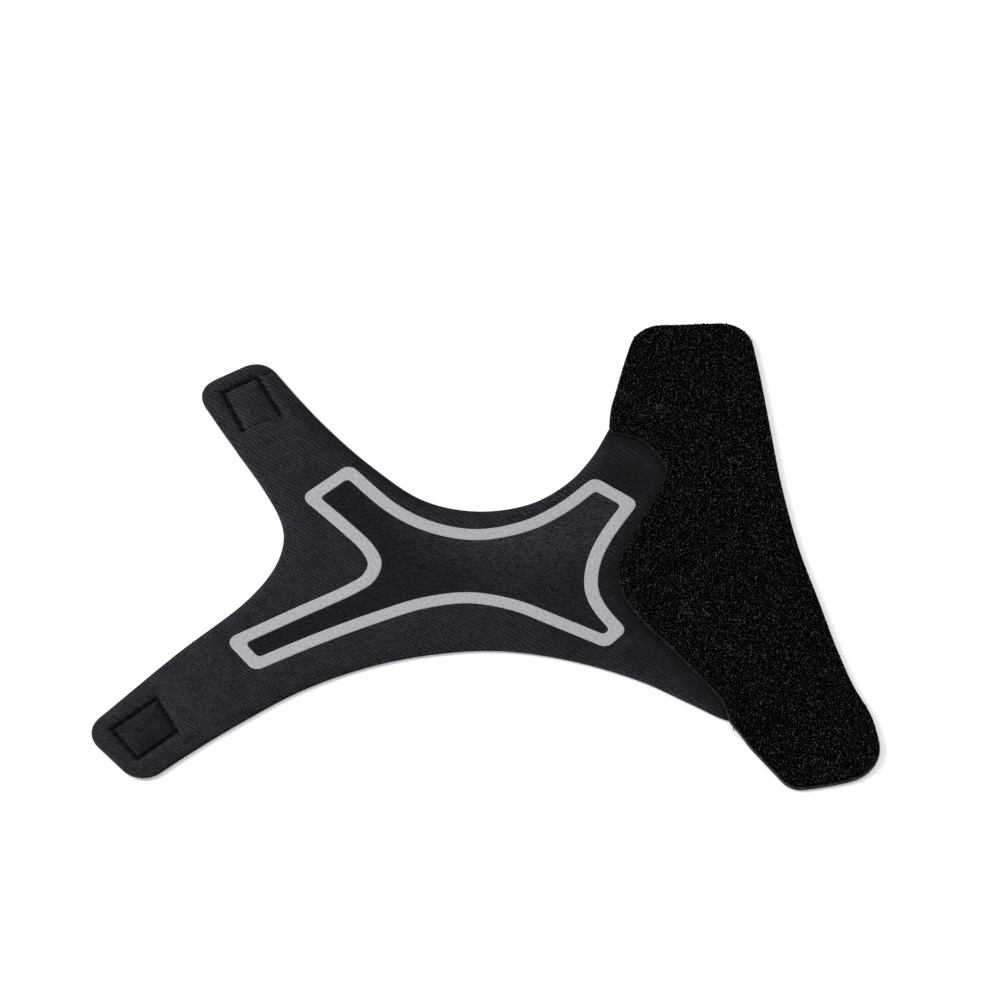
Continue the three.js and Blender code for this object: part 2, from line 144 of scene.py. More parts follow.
def rounded(loop, step):
    if area_of(loop) < 0:
        loop = loop[::-1]
    before, after, later = np.roll(loop, 1, 0), np.roll(loop, -1, 0), np.roll(loop, -2, 0)

    def span(a, b):
        return np.sqrt(np.linalg.norm(b - a, axis=1))[:, None] + 1e-9

    s0, s1, s2 = span(before, loop), span(loop, after), span(after, later)
    m1 = s1 * ((loop - before) / s0 - (after - before) / (s0 + s1) + (after - loop) / s1)
    m2 = s1 * ((after - loop) / s1 - (later - loop) / (s1 + s2) + (later - after) / s2)
    t = np.linspace(0, 1, 24, endpoint=False)[:, None, None]
    curve = (
        (2 * t**3 - 3 * t**2 + 1) * loop + (t**3 - 2 * t**2 + t) * m1
        + (3 * t**2 - 2 * t**3) * after + (t**3 - t**2) * m2
    )
    curve = curve.transpose(1, 0, 2).reshape(-1, 2)
    closed = np.vstack([curve, curve[:1]])
    walked = np.r_[0, np.cumsum(np.linalg.norm(np.diff(closed, axis=0), axis=1))]
    count = int(round(walked[-1] / step))
    at = np.linspace(0, walked[-1], count, endpoint=False)
    return np.c_[np.interp(at, walked, closed[:, 0]), np.interp(at, walked, closed[:, 1])]


body_edge = rounded(outlines_of("body_panel")[0], 1.3)
wing_edge = rounded(outlines_of("wing_base")[0], 1.2)
pile_edge = rounded(outlines_of("wing_loop_face")[0], 1.4)
centre_edge = rounded(outlines_of("centre_panel")[0], 1.0)
band_outer, band_inner = [rounded(loop, 1.0) for loop in outlines_of("reflective_border")[:2]]
for name, loop in (("body", body_edge), ("wing", wing_edge), ("centre", centre_edge), ("band", band_outer)):
    print(f"{name} outline: {len(loop)} points, {abs(area_of(loop)) / 100:.1f} cm2")


# %% [markdown]
# ## A sheet with its own edge
# A cut sheet has a flat middle and a shaped rim, so its points lie in rings that follow the outline and
# in an even honeycomb further in. A Delaunay fill joins them, and the height of each point comes from its
# distance to the outline. That keeps a clean rim, which a voxel remesh of so thin a sheet would lose.

# %% Distances in the plan
def distance_to(points, loops):
    best = np.full(len(points), 1e9)
    for loop in loops:
        a, b = loop, np.roll(loop, -1, 0)
        along = b - a
        length2 = (along**2).sum(1)
        for i in range(0, len(points), 1500):
            p = points[i:i + 1500]
            t = ((p[:, None] - a) * along).sum(2) / length2
            near = a + np.clip(t, 0, 1)[..., None] * along
            nearest = np.linalg.norm(p[:, None] - near, axis=2).min(1)
            best[i:i + 1500] = np.minimum(best[i:i + 1500], nearest)
    return best


def inside(points, loops):
    odd = np.zeros(len(points), bool)
    for loop in loops:
        a, b = loop, np.roll(loop, -1, 0)
        for i in range(0, len(points), 3000):
            x, y = points[i:i + 3000, :1], points[i:i + 3000, 1:]
            crosses = (a[:, 1] > y) != (b[:, 1] > y)
            with np.errstate(divide="ignore", invalid="ignore"):
                reach = a[:, 0] + (y - a[:, 1]) * (b[:, 0] - a[:, 0]) / (b[:, 1] - a[:, 1])
            odd[i:i + 3000] ^= ((crosses & (x < reach)).sum(1) % 2).astype(bool)
    return odd


print("the body's middle is", distance_to(np.zeros((1, 2)), [body_edge]).round(1), "mm from its outline")


# %% [markdown]
# ## Rings and honeycomb
# The rings are the outline moved inwards, kept only where nothing else of the outline is nearer, so they
# never cross at a narrow place. The honeycomb fills what is left. Points that a stitch needs come extra,
# and push the honeycomb's own points away.

# %% The filled sheet
def fill_points(loops, rings, step, extra=None):
    found = []
    for order, loop in enumerate(loops):
        ahead = np.roll(loop, -1, 0) - np.roll(loop, 1, 0)
        ahead /= np.linalg.norm(ahead, axis=1)[:, None]
        inward = np.c_[-ahead[:, 1], ahead[:, 0]] * (1 if order == 0 else -1)
        for distance in rings:
            ring = loop + inward * distance
            right = np.abs(distance_to(ring, loops) - distance) < 0.04 * distance + 0.01
            found.append(ring[right & inside(ring, loops)])
    low, high = loops[0].min(0), loops[0].max(0)
    rows = np.arange(low[1], high[1], step * 0.866)
    grid = np.array([(x + (row % 2) * step / 2, y) for row, y in enumerate(rows)
                     for x in np.arange(low[0], high[0], step)])
    grid = grid[inside(grid, loops)]
    grid = grid[distance_to(grid, loops) > rings[-1] + 0.6 * step]
    if extra is not None:
        extra = extra[inside(extra, loops)]
        extra = extra[distance_to(extra, loops) > rings[-1] + 0.3]
        grid = grid[np.array([np.abs(extra - p).max(1).min() > 0.55 * step for p in grid])]
        found.append(extra)
    return np.vstack(found + [grid])


def join_points(loops, inner):
    outline = np.vstack(loops)
    points = np.vstack([outline, inner])
    edges, start = [], 0
    for loop in loops:
        edges += [(start + i, start + (i + 1) % len(loop)) for i in range(len(loop))]
        start += len(loop)
    made = delaunay_2d_cdt([Vector(p) for p in points.tolist()], edges, [], 0, 1e-7)
    first = np.array([from_[0] if from_ else -1 for from_ in made[3]])
    faces = first[np.array(made[2])]
    faces = faces[(faces >= 0).all(1)]
    a, b, c = points[faces[:, 0]], points[faces[:, 1]], points[faces[:, 2]]
    turn = (b[:, 0] - a[:, 0]) * (c[:, 1] - a[:, 1]) - (b[:, 1] - a[:, 1]) * (c[:, 0] - a[:, 0])
    faces[turn < 0] = faces[turn < 0][:, ::-1]
    return faces[inside((a + b + c) / 3, loops) & (np.abs(turn) > 1e-9)]


def make_sheet(name, loops, rings, step, edge, top, bottom, under_rings=None, under_step=None, extra=None):
    outline = np.vstack(loops)
    above = fill_points(loops, rings, step, extra)
    below = fill_points(loops, under_rings or rings, under_step or step)
    up = join_points(loops, above)
    down = join_points(loops, below)[:, ::-1]
    shift = len(above)
    down = np.where(down >= len(outline), down + shift, down)
    away_above, away_below = distance_to(above, loops), distance_to(below, loops)
    points = np.vstack([
        np.c_[outline, edge(outline)],
        np.c_[above, top(above, away_above)],
        np.c_[below, bottom(below, away_below)],
    ])
    piece = make_piece(name, points, np.vstack([up, down]))
    away = np.r_[np.zeros(len(outline)), away_above, away_below]
    side = np.r_[np.zeros(len(outline)), np.ones(len(above)), -np.ones(len(below))]
    print(f"{name}: {len(points)} points, {len(piece.data.polygons)} triangles")
    return piece, away, side


def eased(value):
    t = np.clip(value, 0, 1)
    return t * t * (3 - 2 * t)


print("a slope eased at its quarters:", [float(eased(t)) for t in (0, 0.25, 0.5, 0.75, 1)])


# %% [markdown]
# ## Where the sheets lie
# The tabs lie over their hook patches, so they rise a little there and fall off smoothly around them. The
# wing lies over the ends of the two right arms and drops to the table beyond them. Both shapes are the
# CAD model's own, written here as heights over the table, in millimetres.

# %% Tabs, patches and the wing's slope
BODY_THICK, WING_THICK, PILE_GAP = 2.8, 2.2, 0.15
FILM_THICK, CENTRE_THICK, HOOK_THICK, GAP = 0.35, 0.3, 1.3, 0.3
HOOK_LONG, HOOK_WIDE = 30.0, 24.0


def tab_frame(node, heading):
    low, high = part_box(node)
    middle = np.array([(low.x + high.x) / 2, (low.y + high.y) / 2]) / MM
    angle = math.radians(heading)
    out = np.array([math.cos(angle), math.sin(angle)])
    return {"middle": middle, "out": out, "side": np.array([-out[1], out[0]]), "angle": angle}


upper_tab = tab_frame("hook_patch_upper", 120)
lower_tab = tab_frame("hook_patch_lower", 222)
tabs = [upper_tab, lower_tab]
upper_tab["corners"] = [(14.2, 8.3), (14.5, -11.0), (-12.5, -9.8), (-11.3, 11.0)]
lower_tab["corners"] = [(15.5, 9.5), (13.5, -12.0), (-14.0, -11.2), (-8.8, 10.0)]


def on_tab(tab, points):
    offset = points[:, :2] - tab["middle"]
    return offset @ tab["out"], offset @ tab["side"]


def box_corners(tab, grow=0.0):
    corners = np.array(tab["corners"])
    corners = corners + grow / 11 * (corners - corners.mean(0))
    return tab["middle"] + corners[:, :1] * tab["out"] + corners[:, 1:] * tab["side"]


def outside_box(tab, points, length, width):
    u, v = on_tab(tab, points)
    du, dv = np.abs(u) - length / 2, np.abs(v) - width / 2
    return np.hypot(np.maximum(du, 0), np.maximum(dv, 0)) + np.minimum(np.maximum(du, dv), 0)


def patch_lift(points):
    return sum((HOOK_THICK + GAP) * (1 - eased((outside_box(tab, points, HOOK_LONG, HOOK_WIDE) - 4) / 8))
               for tab in tabs)


def wing_under(points):
    away = distance_to(points, [body_edge]) * np.where(inside(points, [body_edge]), -1, 1)
    return (BODY_THICK + GAP) * (1 - eased((away - 4) / 14))


print("hook patch middles in mm:", [tab["middle"].round(1).tolist() for tab in tabs])

# %% [markdown]
# ## The knit body
# The body is one cut of ribbed stretch knit laminated on foam, with a soft rolled edge. It starts as a
# sheet with the CAD's thickness. Cloth with a little pressure then swells it between the places that
# hold it down, which are the rim, the band, the lap under the wing and the box stitches on the tabs.

# %% Body sheet
def roll(away, width):
    t = np.clip(away / width, 0, 1)
    return np.sqrt(np.clip(1 - (1 - t)**2.3, 0, 1))


def body_middle(points):
    return patch_lift(points) + 0.46 * BODY_THICK


def body_top(points, away):
    middle = body_middle(points)
    near_tab = sum(1 - eased((outside_box(tab, points, HOOK_LONG, HOOK_WIDE) - 6) / 12) for tab in tabs)
    pillow = (0.4 + 0.7 * near_tab) * (1 - eased(away / 8)) * eased(distance_to(points, [band_outer]) / 4)
    return middle + (patch_lift(points) + BODY_THICK - pillow - middle) * roll(away, 2.4)


def body_bottom(points, away):
    middle = body_middle(points)
    return middle + (patch_lift(points) - middle) * roll(away, 1.5)


def along_sides(corners, step):
    spots = []
    for a, b in zip(corners, np.roll(corners, -1, 0)):
        count = int(np.linalg.norm(b - a) / step)
        spots.append(a + np.linspace(0, 1, count, endpoint=False)[:, None] * (b - a))
    return np.vstack(spots)


tack_spots = [upper_tab["middle"] + u * upper_tab["out"] + v * upper_tab["side"]
              for u, v in ((16.0, -9.2), (14.4, -14.4), (14.0, -17.0))]
beside_stitch = (-2, -1.4, -0.9, -0.45, 0, 0.45, 0.9, 1.4, 2)
stitch_points = np.vstack([
    along_sides(box_corners(tab, grow), 0.6) for tab in tabs for grow in beside_stitch
])
knit_body, body_away, body_side = make_sheet(
    "knit_body", [body_edge], [0.06, 0.25, 0.6, 1.1, 1.7, 2.5], 1.5, body_middle, body_top, body_bottom,
    under_rings=[0.1, 0.4, 0.9, 1.6], under_step=3.0, extra=stitch_points,
)

# %% [markdown]
# ## Swelling the knit
# Cloth runs for twenty frames with gravity off and a pressure of four. Each point may move half a
# millimetre at most, because the real laminate is thin and firm. What is sewn or bonded is held where it
# is: the underside, the rim, the band, the lap under the wing and the lines of the box stitches.

# %% Cloth pressure on the body
PRESSURE, LAST_FRAME, MOST_SWELL = 4, 20, 0.5


def swell(piece, held, most):
    start = places_of(piece)
    group = piece.vertex_groups.new(name="held")
    group.add(np.nonzero(held)[0].tolist(), 1.0, "REPLACE")
    hold(piece)
    cloth = piece.modifiers.new("Cloth", "CLOTH")
    cloth.settings.quality = 3
    cloth.settings.mass = 0.12
    cloth.settings.use_pressure = True
    cloth.settings.uniform_pressure_force = PRESSURE
    cloth.settings.effector_weights.gravity = 0
    cloth.settings.vertex_group_mass = group.name
    cloth.point_cache.frame_start = 1
    cloth.point_cache.frame_end = LAST_FRAME
    for step in range(1, LAST_FRAME + 1):
        scene.frame_set(step)
    bpy.ops.object.modifier_apply(modifier=cloth.name)
    scene.frame_set(1)
    moved = places_of(piece) - start
    size = np.linalg.norm(moved, axis=1)[:, None]
    moved *= np.minimum(1, most / np.maximum(size, 1e-9))
    set_places(piece, start + moved)
    piece.vertex_groups.clear()
    print(f"{piece.name}: swelled {size.mean():.3f} mm on average, {min(size.max(), most):.2f} mm at most")


body_at = places_of(knit_body)
in_band = inside(body_at[:, :2], [band_outer]) | (distance_to(body_at[:, :2], [band_outer]) < 0.6)
in_lap = inside(body_at[:, :2], [wing_edge]) | (distance_to(body_at[:, :2], [wing_edge]) < 1.5)
on_stitch = distance_to(body_at[:, :2], [box_corners(tab) for tab in tabs])
held_down = (body_side < 0.5) | (body_away < 0.5) | in_band | in_lap | (on_stitch < 0.6)
swell(knit_body, held_down, MOST_SWELL)

# %% [markdown]
# ## Stitched boxes drawn into the tabs
# On each tab a skewed box of stitches holds the hook patch. Thread under tension cuts a narrow groove,
# deepest where the needle went through, in a wider and softer dip. Both are added to the heights here,
# because a bump alone would not change the meshes.

# %% Grooves of the box stitches
STITCH_STEP = 2.6
FAINT_SIDE = (0, 2)  # the upper tab's inner side, where the thread hardly pulls


def stitch_groove(points):
    dip = np.zeros(len(points))
    for order, tab in enumerate(tabs):
        corners = box_corners(tab)
        for side, (a, b) in enumerate(zip(corners, np.roll(corners, -1, 0))):
            long = np.linalg.norm(b - a)
            walked = np.clip((points[:, :2] - a) @ (b - a) / long, 0, long)
            away = np.linalg.norm(points[:, :2] - a - walked[:, None] * (b - a) / long, axis=1)
            needle = 0.78 + 0.22 * np.cos(2 * math.pi * walked / STITCH_STEP)
            pull = 1 + 0.2 * np.sin(0.31 * walked + 2 * order) * np.sin(0.83 * walked + side)
            strength = 0.15 if (order, side) == FAINT_SIDE else 1.0
            cut = 0.95 * needle * (1 - eased(away / 1.6)) + 0.9 * np.exp(-((away / 3.8)**1.6))
            dip = np.maximum(dip, strength * pull * cut)
    for tack in tack_spots:
        dip = np.maximum(dip, 1.5 * np.exp(-(np.linalg.norm(points[:, :2] - tack, axis=1) / 1.5)**2))
    return dip


body_at = places_of(knit_body)
groove = stitch_groove(body_at)
on_top = body_side > 0.5
body_at[on_top, 2] -= groove[on_top]
set_places(knit_body, body_at)
hold(knit_body)
bpy.ops.object.shade_smooth()
print("stitch grooves reach", round(float(groove.max()), 2), "mm deep")

# %% [markdown]
# ## Masks of painted light and shade on the knit
# Knit looks paler where it leans to the light and darker where it turns away, more than its shader alone
# shows. Three numbers on each point paint that light and shade for the finish to read. The groove mask is
# painted shade, deep in the stitches and softer beside the wing and at the right arms' ends; it also makes
# the strips at the far edge and inside the lower box darker. The rim is one at the outline. The lean is
# how far the surface tips to the left, without the slope over a hook patch, because there the fabric is
# stretched and even, and it paints light on one side and shade on the other.

# %% Groove, rim and lean
plan = body_at[:, :2]
far_edge = [np.array([(-102, 97), (-42, 32)])]


def shade_spot(middle, reach, strength):
    return strength * np.exp(-(np.linalg.norm(plan - middle, axis=1) / reach)**4)


# Painted shade: darker beside the wing's edge, less at the seam's foot, and in spots at the right arms' ends
# and below the centre.
foot_of_seam = shade_spot((110, -71), 11, 0.6)
shade_beside_wing = 0.8 * np.exp(-distance_to(plan, [wing_edge]) / 11) * (1 - foot_of_seam)
# The lower box and a strip along the far edge are painted darker.
in_lower_box = 0.42 * inside(plan, [box_corners(lower_tab)])
far_strip = 0.45 * np.exp(-((body_away / 9)**2) - (distance_to(plan, far_edge) / 14)**2)
shade_at_arm_ends = [
    shade_spot((69, 44), 16.5, 0.70), shade_spot((76, -63), 11, 0.47), shade_spot((44, -54), 19, 0.33),
]
shaded = np.maximum.reduce([shade_beside_wing, in_lower_box, far_strip] + shade_at_arm_ends)
# The groove mask is painted shade in the stitch grooves and at the places above.
paint(knit_body, "groove", np.where(on_top, np.clip(1.9 * (groove - 0.72), shaded, 1), 0))
paint(knit_body, "rim", 1 - eased(body_away / 2.2))

# The lean mask is painted light where the surface tips to the left and painted shade where it tips away;
# edge_shade paints a dark line along edges that face right.
looks = np.empty(len(knit_body.data.vertices) * 3, np.float32)
knit_body.data.vertex_normals.foreach_get("vector", looks)
looks = looks.reshape(-1, 3)
patch_slope = patch_lift(body_at + (0.5, 0, 0)) - patch_lift(body_at - (0.5, 0, 0))
leans_left = -looks[:, 0] / np.maximum(looks[:, 2], 0.3) - 1.7 * patch_slope
leans_left = np.where(body_side < 0, 0, np.where(leans_left > 0, 4.6, 3.4) * leans_left)
aside = np.array([0.1, 0])
faces_right = (distance_to(plan - aside, [body_edge]) - distance_to(plan + aside, [body_edge])) / 0.2
edge_shade = -1.6 * (1 - eased((body_away - 0.3) / 0.9)) * np.clip((faces_right - 0.25) / 0.3, 0, 1)
paint(knit_body, "lean_light_shade", np.clip(np.where(edge_shade < -0.05, edge_shade, leans_left), -1.6, 1.5))
print("points that lean to the light:", int((leans_left > 0.2).sum()), "of", len(plan))

# %% [markdown]
# ## The centre panel and the band
# The centre panel is a finer, smoother knit bonded on the body, and the band is a grey film heat-pressed
# over its edge. Both are thinner than a fingernail, so they are sheets with a rounded edge, laid on the
# body's flat top. The film's edge rolls over within a quarter of a millimetre.

# %% Centre panel
def laid_top(thick, width):
    def top(points, away):
        ripple = 0.02 * np.sin(points[:, 0] * 0.21) * np.sin(points[:, 1] * 0.17 + 1)
        return BODY_THICK + thick * (0.3 + 0.7 * roll(away, width)) + ripple * eased(away / 2)
    return top


def flat_at(height):
    return lambda points, away=None: np.full(len(points), height)


centre_panel, centre_away, _ = make_sheet(
    "centre_knit", [centre_edge], [0.15, 0.45, 1.0], 1.7, flat_at(BODY_THICK + 0.08),
    laid_top(CENTRE_THICK, 0.5), flat_at(BODY_THICK + 0.01), under_step=3.0,
)
paint(centre_panel, "rim", 1 - eased(centre_away / 1.2))
hold(centre_panel)
bpy.ops.object.shade_smooth()
print("centre area in cm2:", round(abs(area_of(centre_edge)) / 100, 1))

# %% [markdown]
# ## The film band
# The band is cut from film as one closed ring and pressed on with heat, so it has a crisp edge and no
# seam. An extruded curve would need a joint and would pinch at the tight corners, so the same filled sheet
# is used, with an outer and an inner outline.

# %% Film band
film_band, film_away, _ = make_sheet(
    "film_band", [band_outer, band_inner], [0.08, 0.25, 0.6, 1.2], 1.3, flat_at(BODY_THICK + 0.1),
    laid_top(FILM_THICK, 0.45), flat_at(BODY_THICK + 0.01), under_step=2.0,
)
paint(film_band, "rim", 1 - eased(film_away / 0.7))
hold(film_band)
bpy.ops.object.shade_smooth()
band_area = (abs(area_of(band_outer)) - abs(area_of(band_inner))) * 1e-6
print("band area in cm2:", round(band_area * 1e4, 1))

# %% [markdown]
# ## The wing
# The wing is a foam laminate with a cut edge, so its sides stand nearly straight and show the paler
# core. The pile cloth on top stops a little inside that edge. Both follow the slope over the arms.

# %% Foam base
def cut_edge(away, width):
    return eased(away / width)**0.35


def base_edge(points):
    return wing_under(points) + 0.5 * WING_THICK


def base_top(points, away):
    return wing_under(points) + WING_THICK * (0.5 + 0.5 * cut_edge(away, 0.45))


def base_bottom(points, away):
    return wing_under(points) + WING_THICK * (0.5 - 0.5 * cut_edge(away, 0.45))


wing_base, base_away, base_side = make_sheet(
    "foam_wing", [wing_edge], [0.02, 0.12, 0.4, 1.2], 2.4, base_edge, base_top, base_bottom,
    under_rings=[0.02, 0.12, 0.4, 1.4],
)
base_at = places_of(wing_base)[:, :2]
over_body = eased(distance_to(base_at, [body_edge]) / 3) * inside(base_at, [body_edge])
near_rim = 1 - eased((base_away - 0.35) / 0.5)
at_notch = np.exp(-(distance_to(base_at, [body_edge]) / 3)**2)
on_its_top = np.where(base_side > 0, 0.8 - 0.45 * over_body, 1)
shown = on_its_top * (1 - 0.5 * over_body) * (1 - 0.45 * at_notch)
sunk = np.exp(-((base_at[:, 1] - 8) / 34)**4) * over_body
paint(wing_base, "rim", near_rim * shown * (1 - 0.85 * sunk))
hold(wing_base)
bpy.ops.object.shade_smooth_by_angle(angle=math.radians(50))

# %% [markdown]
# ## The pile's backing
# The loops stand on a thin woven cloth, which shows only as darkness between them. It is glued on the
# foam, and the seam that holds the wing on the arms presses a shallow line into it.

# %% Pile backing
def pile_floor(points):
    return wing_under(points) + WING_THICK + PILE_GAP


def seam_line(points):
    near_body = np.exp(-(distance_to(points, [wing_edge]) - 2.2)**2 / 0.5)
    return near_body * inside(points, [body_edge])


def backing_top(points, away):
    return pile_floor(points) + 0.45 * (0.4 + 0.6 * roll(away, 0.6)) - 0.25 * seam_line(points)


def backing_edge(points):
    return pile_floor(points) + 0.1


def backing_bottom(points, away):
    return pile_floor(points)


pile_backing, _, _ = make_sheet(
    "pile_backing", [pile_edge], [0.15, 0.5, 1.2, 2.2], 2.2, backing_edge, backing_top, backing_bottom,
)
hold(pile_backing)
bpy.ops.object.shade_smooth()

# %% [markdown]
# ## The loops of the pile
# The pile is thousands of tiny open loops. One loop is a half ring of a few dozen faces, and Geometry
# Nodes scatters copies of it over the backing, each turned, leaned and sized by chance from a fixed seed.
# A number kept with every copy makes some loops paler, as painted glints. Three strips keep each piece
# light.

# %% One loop
LOOP_RADIUS, THREAD_RADIUS, LOOP_SPACING, LOOP_FOOT = 0.40, 0.29, 0.98, -0.08

bpy.ops.object.select_all(action="DESELECT")
bpy.ops.mesh.primitive_torus_add(
    major_segments=8, minor_segments=3, major_radius=LOOP_RADIUS * MM, minor_radius=THREAD_RADIUS * MM,
    rotation=(math.radians(90), 0, 0),
)
one_loop = bpy.context.active_object
one_loop.name = "one_loop"
bpy.ops.object.transform_apply(location=False, rotation=True, scale=False)
bpy.ops.object.mode_set(mode="EDIT")
bpy.ops.mesh.select_all(action="SELECT")
bpy.ops.mesh.bisect(plane_co=(0, 0, LOOP_FOOT * MM), plane_no=(0, 0, 1), clear_inner=True)
bpy.ops.object.mode_set(mode="OBJECT")
print("one loop:", len(one_loop.data.polygons), "faces")


# %% [markdown]
# ## Scattering the loops
# The tree keeps the faces that look up in one strip, spreads points on them with a least distance, and
# puts a loop on each point. Copies are made real at the end, so each strip is one joined mesh.

# %% The scatter tree
def scatter_tree(loop, low_y, high_y, seed):
    tree = bpy.data.node_groups.new(f"scatter_{seed}", "GeometryNodeTree")
    tree.interface.new_socket("Geometry", in_out="INPUT", socket_type="NodeSocketGeometry")
    tree.interface.new_socket("Geometry", in_out="OUTPUT", socket_type="NodeSocketGeometry")

    def put(kind, **settings):
        made = tree.nodes.new(kind)
        for key, value in settings.items():
            setattr(made, key, value)
        return made

    join = tree.links.new
    start, end = put("NodeGroupInput"), put("NodeGroupOutput")
    place, split = put("GeometryNodeInputPosition"), put("ShaderNodeSeparateXYZ")
    over = put("FunctionNodeCompare", data_type="FLOAT", operation="GREATER_EQUAL")
    under = put("FunctionNodeCompare", data_type="FLOAT", operation="LESS_THAN")
    both = put("FunctionNodeBooleanMath", operation="AND")
    up, facing = put("GeometryNodeInputNormal"), put("ShaderNodeSeparateXYZ")
    upward = put("FunctionNodeCompare", data_type="FLOAT", operation="GREATER_THAN")
    chosen = put("FunctionNodeBooleanMath", operation="AND")
    points = put("GeometryNodeDistributePointsOnFaces", distribute_method="POISSON")
    shape = put("GeometryNodeObjectInfo")
    turn = put("FunctionNodeRandomValue", data_type="FLOAT_VECTOR")
    size = put("FunctionNodeRandomValue", data_type="FLOAT")
    tone = put("FunctionNodeRandomValue", data_type="FLOAT")
    copies = put("GeometryNodeInstanceOnPoints")
    leaning = put("GeometryNodeRotateInstances")
    store = put("GeometryNodeStoreNamedAttribute", data_type="FLOAT", domain="INSTANCE")
    real = put("GeometryNodeRealizeInstances")
    over.inputs["B"].default_value, under.inputs["B"].default_value = low_y * MM, high_y * MM
    upward.inputs["B"].default_value = 0.2
    shape.inputs["Object"].default_value = loop
    points.inputs["Distance Min"].default_value = LOOP_SPACING * MM
    points.inputs["Density Max"].default_value = 3.0e6
    points.inputs["Seed"].default_value = seed
    turn.inputs["Min"].default_value = (-0.9, -0.9, -3.14)
    turn.inputs["Max"].default_value = (0.9, 0.9, 3.14)
    size.inputs[2].default_value, size.inputs[3].default_value = 0.65, 1.2
    for order, chance in enumerate((turn, size, tone)):
        chance.inputs["Seed"].default_value = seed + order
    store.inputs["Name"].default_value = "tone"
    join(place.outputs[0], split.inputs[0])
    join(split.outputs["Y"], over.inputs["A"])
    join(split.outputs["Y"], under.inputs["A"])
    join(over.outputs[0], both.inputs[0])
    join(under.outputs[0], both.inputs[1])
    join(up.outputs[0], facing.inputs[0])
    join(facing.outputs["Z"], upward.inputs["A"])
    join(both.outputs[0], chosen.inputs[0])
    join(upward.outputs[0], chosen.inputs[1])
    join(start.outputs[0], points.inputs["Mesh"])
    join(chosen.outputs[0], points.inputs["Selection"])
    join(points.outputs["Points"], copies.inputs["Points"])
    join(shape.outputs["Geometry"], copies.inputs["Instance"])
    join(points.outputs["Rotation"], copies.inputs["Rotation"])
    join(size.outputs[1], copies.inputs["Scale"])
    join(copies.outputs[0], leaning.inputs["Instances"])
    join(turn.outputs[0], leaning.inputs["Rotation"])
    join(leaning.outputs[0], store.inputs["Geometry"])
    join(tone.outputs[1], store.inputs["Value"])
    join(store.outputs[0], real.inputs[0])
    join(real.outputs[0], end.inputs[0])
    return tree


print("the scatter tree spreads loops", LOOP_SPACING, "mm apart or more")

# %% Three strips of loops
pile_low, pile_high = pile_edge[:, 1].min() - 1, pile_edge[:, 1].max() + 1
cuts = np.interp([0, 0.34, 0.64, 1], [0, 1], [pile_high, pile_low])
pile_loops = []
for order, part in enumerate(("head", "middle", "foot")):
    strip = bpy.data.objects.new(f"pile_loops_{part}", pile_backing.data.copy())
    scene.collection.objects.link(strip)
    hold(strip)
    scatter = strip.modifiers.new("scatter", "NODES")
    scatter.node_group = scatter_tree(one_loop, cuts[order + 1], cuts[order], 11 + 7 * order)
    bpy.ops.object.modifier_apply(modifier=scatter.name)
    bpy.ops.object.shade_smooth()
    pile_loops.append(strip)
    print(strip.name, len(strip.data.polygons), "faces", [a.name for a in strip.data.attributes])
bpy.data.objects.remove(one_loop)

# %% [markdown]
# ## Hook patches
# Under each tab is a small plate of hook tape. It can only be seen from below: a thin backing with round
# corners and rows of bent hooks. The plate starts as a cube, is cut to its size and bevelled at its
# corners, and one hook is a short bent wire, copied in rows.

# %% Hook plates
def plate_piece(name, tab):
    bpy.ops.object.select_all(action="DESELECT")
    bpy.ops.mesh.primitive_cube_add(size=1)
    piece = bpy.context.active_object
    piece.name = name
    piece.scale = (HOOK_LONG * MM, HOOK_WIDE * MM, 0.6 * MM)
    piece.rotation_euler = (0, 0, tab["angle"])
    piece.location = (tab["middle"][0] * MM, tab["middle"][1] * MM, 1.0 * MM)
    bpy.ops.object.transform_apply(location=True, rotation=True, scale=True)
    bpy.ops.object.mode_set(mode="EDIT")
    bpy.ops.mesh.select_all(action="DESELECT")
    form = bmesh.from_edit_mesh(piece.data)
    for edge in form.edges:
        edge.select = abs(edge.verts[0].co.z - edge.verts[1].co.z) > 0.0003
    bmesh.update_edit_mesh(piece.data)
    bpy.ops.mesh.bevel(offset=2.5 * MM, segments=6, affect="EDGES")
    bpy.ops.mesh.select_all(action="DESELECT")
    form = bmesh.from_edit_mesh(piece.data)
    for edge in form.edges:
        edge.select = len({face.normal.z > 0.5 for face in edge.link_faces}) == 2 or len(
            {face.normal.z < -0.5 for face in edge.link_faces}) == 2
    bmesh.update_edit_mesh(piece.data)
    bpy.ops.mesh.bevel(offset=0.12 * MM, segments=2, affect="EDGES")
    bpy.ops.object.mode_set(mode="OBJECT")
    return piece


hook_plates = [plate_piece("hook_plate_upper", upper_tab), plate_piece("hook_plate_lower", lower_tab)]
print("hook plates:", [len(piece.data.polygons) for piece in hook_plates], "faces")


# %% [markdown]
# ## Rows of hooks
# Each hook is a short bent wire with four sides. A tube along a few points makes it, and the rows bend
# one way and the other in turn, as on the real tape, so that the tape holds both ways.

# %% Tubes, and joined copies
def tube(path, radius, sides, taper=1.0):
    path = np.asarray(path, float)
    ahead = np.gradient(path, axis=0)
    ahead /= np.linalg.norm(ahead, axis=1)[:, None]
    across = np.cross(ahead, (0.31, 0.22, 0.92))
    across /= np.linalg.norm(across, axis=1)[:, None]
    above = np.cross(across, ahead)
    turn = np.linspace(0, 2 * math.pi, sides, endpoint=False)
    size = radius * np.linspace(1, taper, len(path))
    ring = np.cos(turn)[:, None, None] * across + np.sin(turn)[:, None, None] * above
    points = (path + ring * size[:, None]).transpose(1, 0, 2).reshape(-1, 3)
    faces = []
    for i in range(len(path) - 1):
        for j in range(sides):
            k = (j + 1) % sides
            faces.append((i * sides + j, i * sides + k, (i + 1) * sides + k, (i + 1) * sides + j))
    return points, faces, [tuple(range(sides)), tuple(range(len(points) - sides, len(points)))[::-1]]


